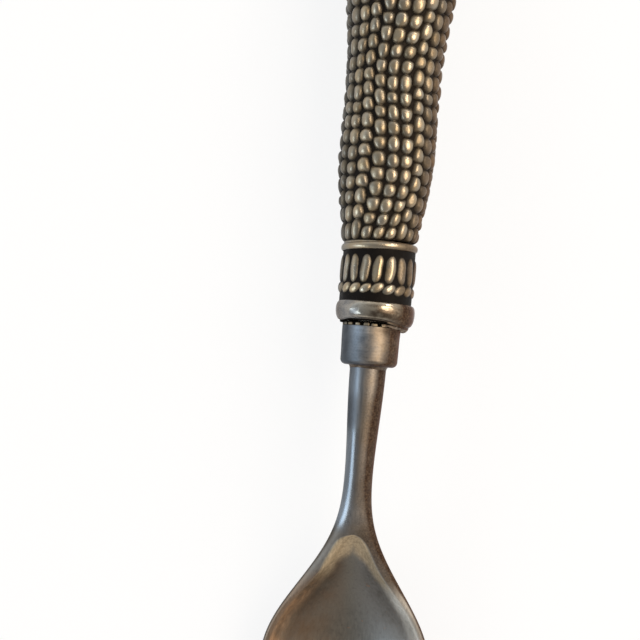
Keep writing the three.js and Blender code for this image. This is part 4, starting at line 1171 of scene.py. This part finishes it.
class SpoonSizes(bpy.types.PropertyGroup):
    """Sizes of the spoon's surfaces."""

    bowl_half_width: length_property("Bowl half-width", "From the centre line to the widest place of the rim",
                                     float(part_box("bowl_and_shank")[1].x))
    bowl_depth: length_property("Bowl depth", "From the rim down to the inside", 0.0071)
    bowl_fullness: FloatProperty(
        name="Bowl fullness", description="1 gives a parabola's sides, less makes them steeper", default=1.0)
    rim_thickness: length_property("Rim thickness", "Thickness of the bowl's wall", 0.00136)
    shank_radius: length_property("Shank radius", "At the ferrule", 0.00327)
    shank_waist_radius: length_property("Shank waist radius", "At the thinnest place", 0.00255)
    band_radius: length_property("Band radius", "Dark ground between the collar's beads", 0.0065)
    bulge_swell: length_property("Bulge swell", "From the ground out to the crown of the bulge", 0.00062)
    bulge_shift: length_property("Bulge shift", "How far the bulge lies off the handle axis", 0.0004)
    flute_count: count_property("Flutes", "Upright beads round the collar", 18)
    rope_count: count_property("Rope beads", "Slanting beads round the collar", 19)
    tooth_count: count_property("Teeth", "Teeth round the crown", 20)
    ring_crown: length_property("Seam ring crown", "Height of the half-round band", 0.00055)
    kernel_columns: count_property("Kernel columns", "Round the cob", 21, least=5)
    kernel_length: length_property("Kernel length", "Along a column, where the cob is 17.4 mm thick", 0.00275)
    kernel_relief: length_property("Kernel relief", "From the grooves up to the crests", 0.001)


class SpoonLooks(bpy.types.PropertyGroup):
    """Colours and roughnesses of the finishes."""

    steel_colour: colour_property("Steel", "Cool parts of the worn steel", (0.198, 0.225, 0.258))
    # Warm steel is a painted warm reflection on the right side of the outside.
    warm_reflection_steel_colour: colour_property("Warm steel", "Warm parts of the worn steel", (0.24, 0.197, 0.152))
    hollow_colour: colour_property("Hollow", "Satin steel inside the bowl", (0.215, 0.2, 0.172))
    # Painted reflections in the bowl: stain paints the left wall's warm reflection, brow a tan reflection
    # along the edge of the hollow, clean hollow the right wall's lighter reflection, sheen a pale highlight
    # on the right edge, rim rust and rust an orange reflection on the left rim and wall; the rust colour also
    # paints the real rust flecks.
    left_wall_reflection_colour: colour_property("Stain", "Warmer clouds inside the bowl", (0.2, 0.138, 0.092))
    tan_reflection_colour: colour_property("Brow", "Tan band along the edge of the hollow", (0.48, 0.38, 0.253))
    right_wall_reflection_colour: colour_property("Clean hollow", "Right side of the hollow", (0.245, 0.24, 0.228))
    sheen_colour: colour_property("Sheen", "Pale sliver on the right edge of the hollow", (0.85, 0.82, 0.75))
    rim_reflection_colour: colour_property("Rim rust", "Stain on the rim's left side", (0.27, 0.185, 0.125))
    rust_and_reflection_colour: colour_property("Rust", "Orange stain on the left edge of the hollow", (0.41, 0.232, 0.13))
    # Tan is a painted highlight on the ferrule's right side.
    tan_highlight_colour: colour_property("Tan", "Tan tarnish on the ferrule", (0.312, 0.256, 0.195))
    # Painted reflection on the sides: brown tarnish, its red edge and its speckles paint a brown table's
    # reflection on the right side; grey tarnish paints a dark reflection on the left side, and flank tarnish
    # the same on the left of the neck.
    brown_reflection_colour: colour_property("Brown tarnish", "On the right side", (0.031, 0.0155, 0.009))
    red_edge_reflection_colour: colour_property("Red tarnish", "Edge of the right side", (0.085, 0.034, 0.0195))
    reflection_speckle_colour: colour_property("Speckles", "Paler grains in the brown tarnish", (0.135, 0.086, 0.052))
    grey_reflection_colour: colour_property("Grey tarnish", "On the left side", (0.056, 0.062, 0.072))
    flank_reflection_colour: colour_property("Flank tarnish", "Left side of the neck", (0.075, 0.066, 0.055))
    pewter_colour: colour_property("Pewter", "Rubbed pewter", (0.41, 0.359, 0.28))
    warm_pewter_colour: colour_property("Warm pewter", "Yellower parts of the pewter", (0.42, 0.33, 0.211))
    # Cool pewter is a painted cool reflection on the bulge's left side; dull pewter paints dull mottles, and
    # also the painted shade of the bulge's lip and its painted dark reflection band.
    cool_reflection_pewter_colour: colour_property("Cool pewter", "Left side of the bulge's crown", (0.24, 0.252, 0.265))
    dull_pewter_and_shade_colour: colour_property("Dull pewter", "Mottles and lip of the bulge", (0.1, 0.076, 0.056))
    patina_colour: colour_property("Patina", "In the collar's grooves", (0.008, 0.0065, 0.0055))
    kernel_patina_colour: colour_property("Kernel patina", "In the cob's grooves", (0.015, 0.0115, 0.0088))
    solder_colour: colour_property("Solder", "Paler lumps of the solder", (0.14, 0.106, 0.08))
    dull_solder_colour: colour_property("Dull solder", "Between the lumps", (0.062, 0.044, 0.031))
    smear_colour: colour_property("Smeared solder", "Lump in the joint on the right", (0.3, 0.23, 0.17))
    cement_colour: colour_property("Cement", "Filler in the handle", (0.62, 0.58, 0.5))
    steel_roughness: share_property("Steel roughness", "Left side of the shank, still polished", 0.22)
    dull_steel_roughness: share_property("Dull steel roughness", "Right side of the shank", 0.45)
    hollow_roughness: share_property("Hollow roughness", "Inside the bowl", 0.42)
    pewter_roughness: share_property("Pewter roughness", "On the rubbed crests", 0.3)


class SpoonStage(bpy.types.PropertyGroup):
    """Camera and light."""

    camera_aim: FloatVectorProperty(
        name="Aim", description="Point of the frame in the middle of the picture",
        default=(-0.00937, -0.00427, 0.0148), size=3, subtype="TRANSLATION", unit="LENGTH", precision=5)
    camera_distance: length_property("Distance", "From the aim", 0.24305)
    camera_lean: angle_property("Lean", "Towards +X from straight above", 4.8)
    camera_tilt: angle_property("Tilt", "Towards the bowl from straight above", 0.24)
    camera_roll: angle_property("Roll", "About the line of sight", 4.96)
    camera_lens: FloatProperty(name="Lens", description="Focal length on a 36 mm wide sensor, in millimetres",
                               default=75.94)
    key_power: power_property("Key lamp", "Warm lamp over the right side", 3.5)
    window_power: power_property("Window lamp", "Cool lamp low on the left", 1.5)
    accent_power: power_property("Accent lamp", "Small lamp low beyond the butt", 0.9)
    room_level: FloatProperty(name="Room", description="Brightness of the room round the lamps", default=1.8)
    floor_colour: colour_property("Floor", "Pale floor", (0.92, 0.92, 0.92))


# Operators

def settings(context):
    """The sizes, looks and stage of the scene."""
    scene = context.scene
    return scene.spoon_sizes, scene.spoon_looks, scene.spoon_stage


class SPOON_OT_bowl_and_shank(bpy.types.Operator):
    """Build the steel bowl with its neck and shank"""

    bl_idname = "spoon.bowl_and_shank"
    bl_label = "Bowl and shank"

    def execute(self, context):
        sizes, looks, _ = settings(context)
        points, reflections_and_hollow = bowl_grid(sizes)
        piece = grid_piece("bowl_and_shank_surface", points, **shank_polish_and_painted_light(-points[..., 1]), **reflections_and_hollow)
        lift_to_floor(piece)
        set_facing(piece)
        finish_piece(piece, worn_steel_with_painted_light(looks), "steel", "bowl_and_shank")
        return {"FINISHED"}


class SPOON_OT_ferrule(bpy.types.Operator):
    """Build the ferrule, the solder under it and the smeared solder at its mouth"""

    bl_idname = "spoon.ferrule"
    bl_label = "Ferrule and solder"

    def execute(self, context):
        sizes, looks, _ = settings(context)
        points, smudge, gleam = ferrule_grid(sizes)
        ferrule = grid_piece("ferrule_surface", points, rows_close=True, smudge=smudge, gleam=gleam)
        set_facing(ferrule)
        finish_piece(ferrule, ferrule_steel(looks), "steel", "ferrule")
        solder = dull_tin("dark_solder", looks.solder_colour, looks.dull_solder_colour)
        fillet = grid_piece("solder_fillet", solder_grid(sizes), rows_close=True)
        finish_piece(fillet, solder, "solder", "ferrule_solder")
        smear = grid_piece("solder_smear", smear_grid())
        finish_piece(smear, dull_tin("smeared_solder", looks.smear_colour, looks.solder_colour), "solder")
        return {"FINISHED"}


class SPOON_OT_collar(bpy.types.Operator):
    """Build the crown of teeth, the collar with its bulge, rope and flutes, and the seam ring"""

    bl_idname = "spoon.collar"
    bl_label = "Teeth, collar and seam ring"

    def execute(self, context):
        sizes, looks, _ = settings(context)
        pewter = antique_pewter("collar_pewter", looks, looks.patina_colour, 0.05, 0.75, (0.68, 0.9))
        points, relief, tone = tooth_grid(sizes)
        teeth = grid_piece("toothed_crown", points, rows_close=True, relief=0.48 * relief, tone=tone)
        set_facing(teeth)
        finish_piece(teeth, pewter, "pewter", "toothed_ring")
        points, relief, tone, angle, is_bulge = collar_grid(sizes)
        collar = grid_piece("collar_surface", points, rows_close=True, relief=relief, tone=tone,
                            **facing_round(angle))
        finish_piece(collar, pewter, "pewter", "collar")
        collar.data.materials.append(polished_pewter(looks))
        collar.data.polygons.foreach_set("material_index", is_bulge.ravel().astype(np.int32))
        points, outside = ring_grid(sizes)
        ring = grid_piece("seam_ring_surface", points, rows_close=True, relief=outside, tone=0.35 * outside)
        set_facing(ring)
        finish_piece(ring, pewter, "pewter", "seam_ring")
        return {"FINISHED"}


class SPOON_OT_cob(bpy.types.Operator):
    """Build the kernelled cob and the button that closes its butt"""

    bl_idname = "spoon.cob"
    bl_label = "Cob and end button"

    def execute(self, context):
        sizes, looks, _ = settings(context)
        pewter = antique_pewter("kernel_pewter", looks, looks.kernel_patina_colour, 0.02, 0.9, (0.5, 0.74))
        points, height, tone, angle = cob_grid(sizes)
        cob = grid_piece("cob_kernels", points, relief=height, tone=tone, **facing_round(angle))
        finish_piece(cob, pewter, "pewter", "cob")
        button = grid_piece("end_button_surface", button_grid(), relief=1.0, tone=0.5)
        set_facing(button)
        finish_piece(button, pewter, "pewter", "end_button")
        return {"FINISHED"}


class SPOON_OT_cement(bpy.types.Operator):
    """Give the filler inside the handle its finish"""

    bl_idname = "spoon.cement"
    bl_label = "Cement"

    def execute(self, context):
        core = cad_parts["cement_core"]
        core.data.materials.clear()
        core.data.materials.append(filler_cement(settings(context)[1]))
        return {"FINISHED"}


def stage_material(stage):
    """The floor's paint. Camera, mirror and glass rays see it mostly as plain white, so that the shadow of
    the spoon stays soft; all other rays see the paint."""
    m = Finish("stage_paint")
    grain = m.noise(0.02, 2.0)
    paint = m.blend(grain, tuple(0.985 * c for c in stage.floor_colour), stage.floor_colour)
    diffuse = m.add("BsdfDiffuse", Color=paint)
    white = m.add("Emission", Color=(1, 1, 1, 1), Strength=1.0)
    rays = m.add("LightPath")
    seen = m.maths("MAXIMUM", rays.outputs["Is Camera Ray"], rays.outputs["Is Glossy Ray"])
    seen = m.maths("MAXIMUM", seen, rays.outputs["Is Transmission Ray"])
    mixed = m.add("MixShader", _0=m.times(seen, 0.85), _1=diffuse.outputs[0], _2=white.outputs[0])
    m.add("OutputMaterial", Surface=mixed.outputs[0])
    return m.material


def add_lamp(name, power, colour, width, height, towards, distance):
    """An area lamp at a distance along a direction, turned to the spoon."""
    data = bpy.data.lights.new(name, "AREA")
    data.shape = "RECTANGLE"
    data.size, data.size_y = width, height
    data.energy = power
    data.color = colour
    lamp = bpy.data.objects.new(name, data)
    bpy.context.scene.collection.objects.link(lamp)
    lamp.location = Vector(towards).normalized() * distance
    lamp.rotation_euler = Vector(towards).to_track_quat("Z", "Y").to_euler()
    lamp.visible_camera = False


class SPOON_OT_stage(bpy.types.Operator):
    """Build the floor, the lamps, the room and the camera"""

    bl_idname = "spoon.stage"
    bl_label = "Stage"

    def execute(self, context):
        stage = settings(context)[2]
        self.floor(stage)
        self.room(context.scene, stage)
        add_lamp("key_lamp", stage.key_power, (1.0, 0.84, 0.66), 0.5, 0.42, (0.56, 0.2, 0.76), 0.75)
        add_lamp("window_lamp", stage.window_power, (0.72, 0.87, 1.0), 0.5, 0.28, (-0.8, -0.3, 0.5), 0.75)
        add_lamp("accent_lamp", stage.accent_power, (1.0, 0.9, 0.78), 0.13, 0.13, (0.52, 0.75, 0.42), 0.75)
        self.camera(context.scene, stage)
        return {"FINISHED"}

    def floor(self, stage):
        """A disc that curves up into a low wall: its profile's radius and height follow a quarter circle."""
        turn = np.linspace(0, np.pi / 2, 12)
        radius = np.concatenate([[0, 0.4, 1.0], 1.3 + 0.3 * np.sin(turn), [1.6]])
        height = np.concatenate([[0, 0, 0], 0.3 - 0.3 * np.cos(turn), [0.5]])
        angle = np.linspace(0, 2 * np.pi, 96, endpoint=False)[None, :]
        x, y = radius[:, None] * np.cos(angle), radius[:, None] * np.sin(angle)
        points = np.stack([x, y, np.broadcast_to(height[:, None], x.shape)], axis=-1)
        floor = grid_object("studio_floor", points)
        floor.data.materials.append(stage_material(stage))

    def room(self, scene, stage):
        """A plain room, darker overhead than at the sides, cooler on the left and dimmer towards the bowl."""
        scene.world = bpy.data.worlds.new("room")
        room = NodeTree(scene.world)
        ways = room.add("SeparateXYZ", _0=room.add("TexCoord").outputs["Generated"]).outputs
        overhead = room.ramp(ways["Z"], (0.2, 0.85), (0.55, 0.55), (0.95, 0.32))
        along = room.add("MapRange", Value=ways["Y"], From_Min=-1, To_Min=0.5, To_Max=1.15).outputs[0]
        across = room.add("MapRange", Value=ways["X"], From_Min=-1).outputs[0]
        hue = room.ramp(across, (0.0, (0.7, 0.79, 0.88)), (1.0, (1.0, 0.86, 0.72)))
        background = room.add("Background", Color=room.tint(room.times(overhead, along), hue),
                              Strength=stage.room_level)
        room.add("OutputWorld", Surface=background.outputs[0])

    def camera(self, scene, stage):
        """The camera looks down on the aim, leaned and tilted, and rolled about its line of sight."""
        turn = Matrix.Rotation(stage.camera_tilt, 3, "X") @ Matrix.Rotation(stage.camera_lean, 3, "Y")
        turn = turn @ Matrix.Rotation(stage.camera_roll, 3, "Z")
        data = bpy.data.cameras.new("photo_camera")
        data.sensor_width = 36
        data.lens = stage.camera_lens
        data.clip_start = 0.01
        camera = bpy.data.objects.new("photo_camera", data)
        scene.collection.objects.link(camera)
        camera.location = Vector(stage.camera_aim) + turn @ Vector((0, 0, stage.camera_distance))
        camera.rotation_euler = turn.to_euler()
        scene.camera = camera
        scene.view_settings.view_transform = "Standard"


class SPOON_PT_panel(bpy.types.Panel):
    """Lists the operators and the settings"""

    bl_idname = "SPOON_PT_panel"
    bl_label = "Corn-cob spoon"
    bl_space_type = "VIEW_3D"
    bl_region_type = "UI"
    bl_category = "Spoon"

    def draw(self, context):
        for operator in STEPS:
            self.layout.operator(operator.bl_idname)
        for group in settings(context):
            box = self.layout.box()
            for key in group.__annotations__:
                box.prop(group, key)


STEPS = (SPOON_OT_stage, SPOON_OT_bowl_and_shank, SPOON_OT_ferrule, SPOON_OT_collar, SPOON_OT_cob,
         SPOON_OT_cement)
GROUPS = (("spoon_sizes", SpoonSizes), ("spoon_looks", SpoonLooks), ("spoon_stage", SpoonStage))


def register():
    for name, group in GROUPS:
        bpy.utils.register_class(group)
        setattr(bpy.types.Scene, name, PointerProperty(type=group))
    for kind in (*STEPS, SPOON_PT_panel):
        bpy.utils.register_class(kind)


def unregister():
    for kind in (SPOON_PT_panel, *reversed(STEPS)):
        bpy.utils.unregister_class(kind)
    for name, group in reversed(GROUPS):
        delattr(bpy.types.Scene, name)
        bpy.utils.unregister_class(group)


def main():
    """Builds the whole scene."""
    register()
    bpy.ops.spoon.stage()
    bpy.ops.spoon.bowl_and_shank()
    bpy.ops.spoon.ferrule()
    bpy.ops.spoon.collar()
    bpy.ops.spoon.cob()
    bpy.ops.spoon.cement()


if __name__ == "__main__":
    main()
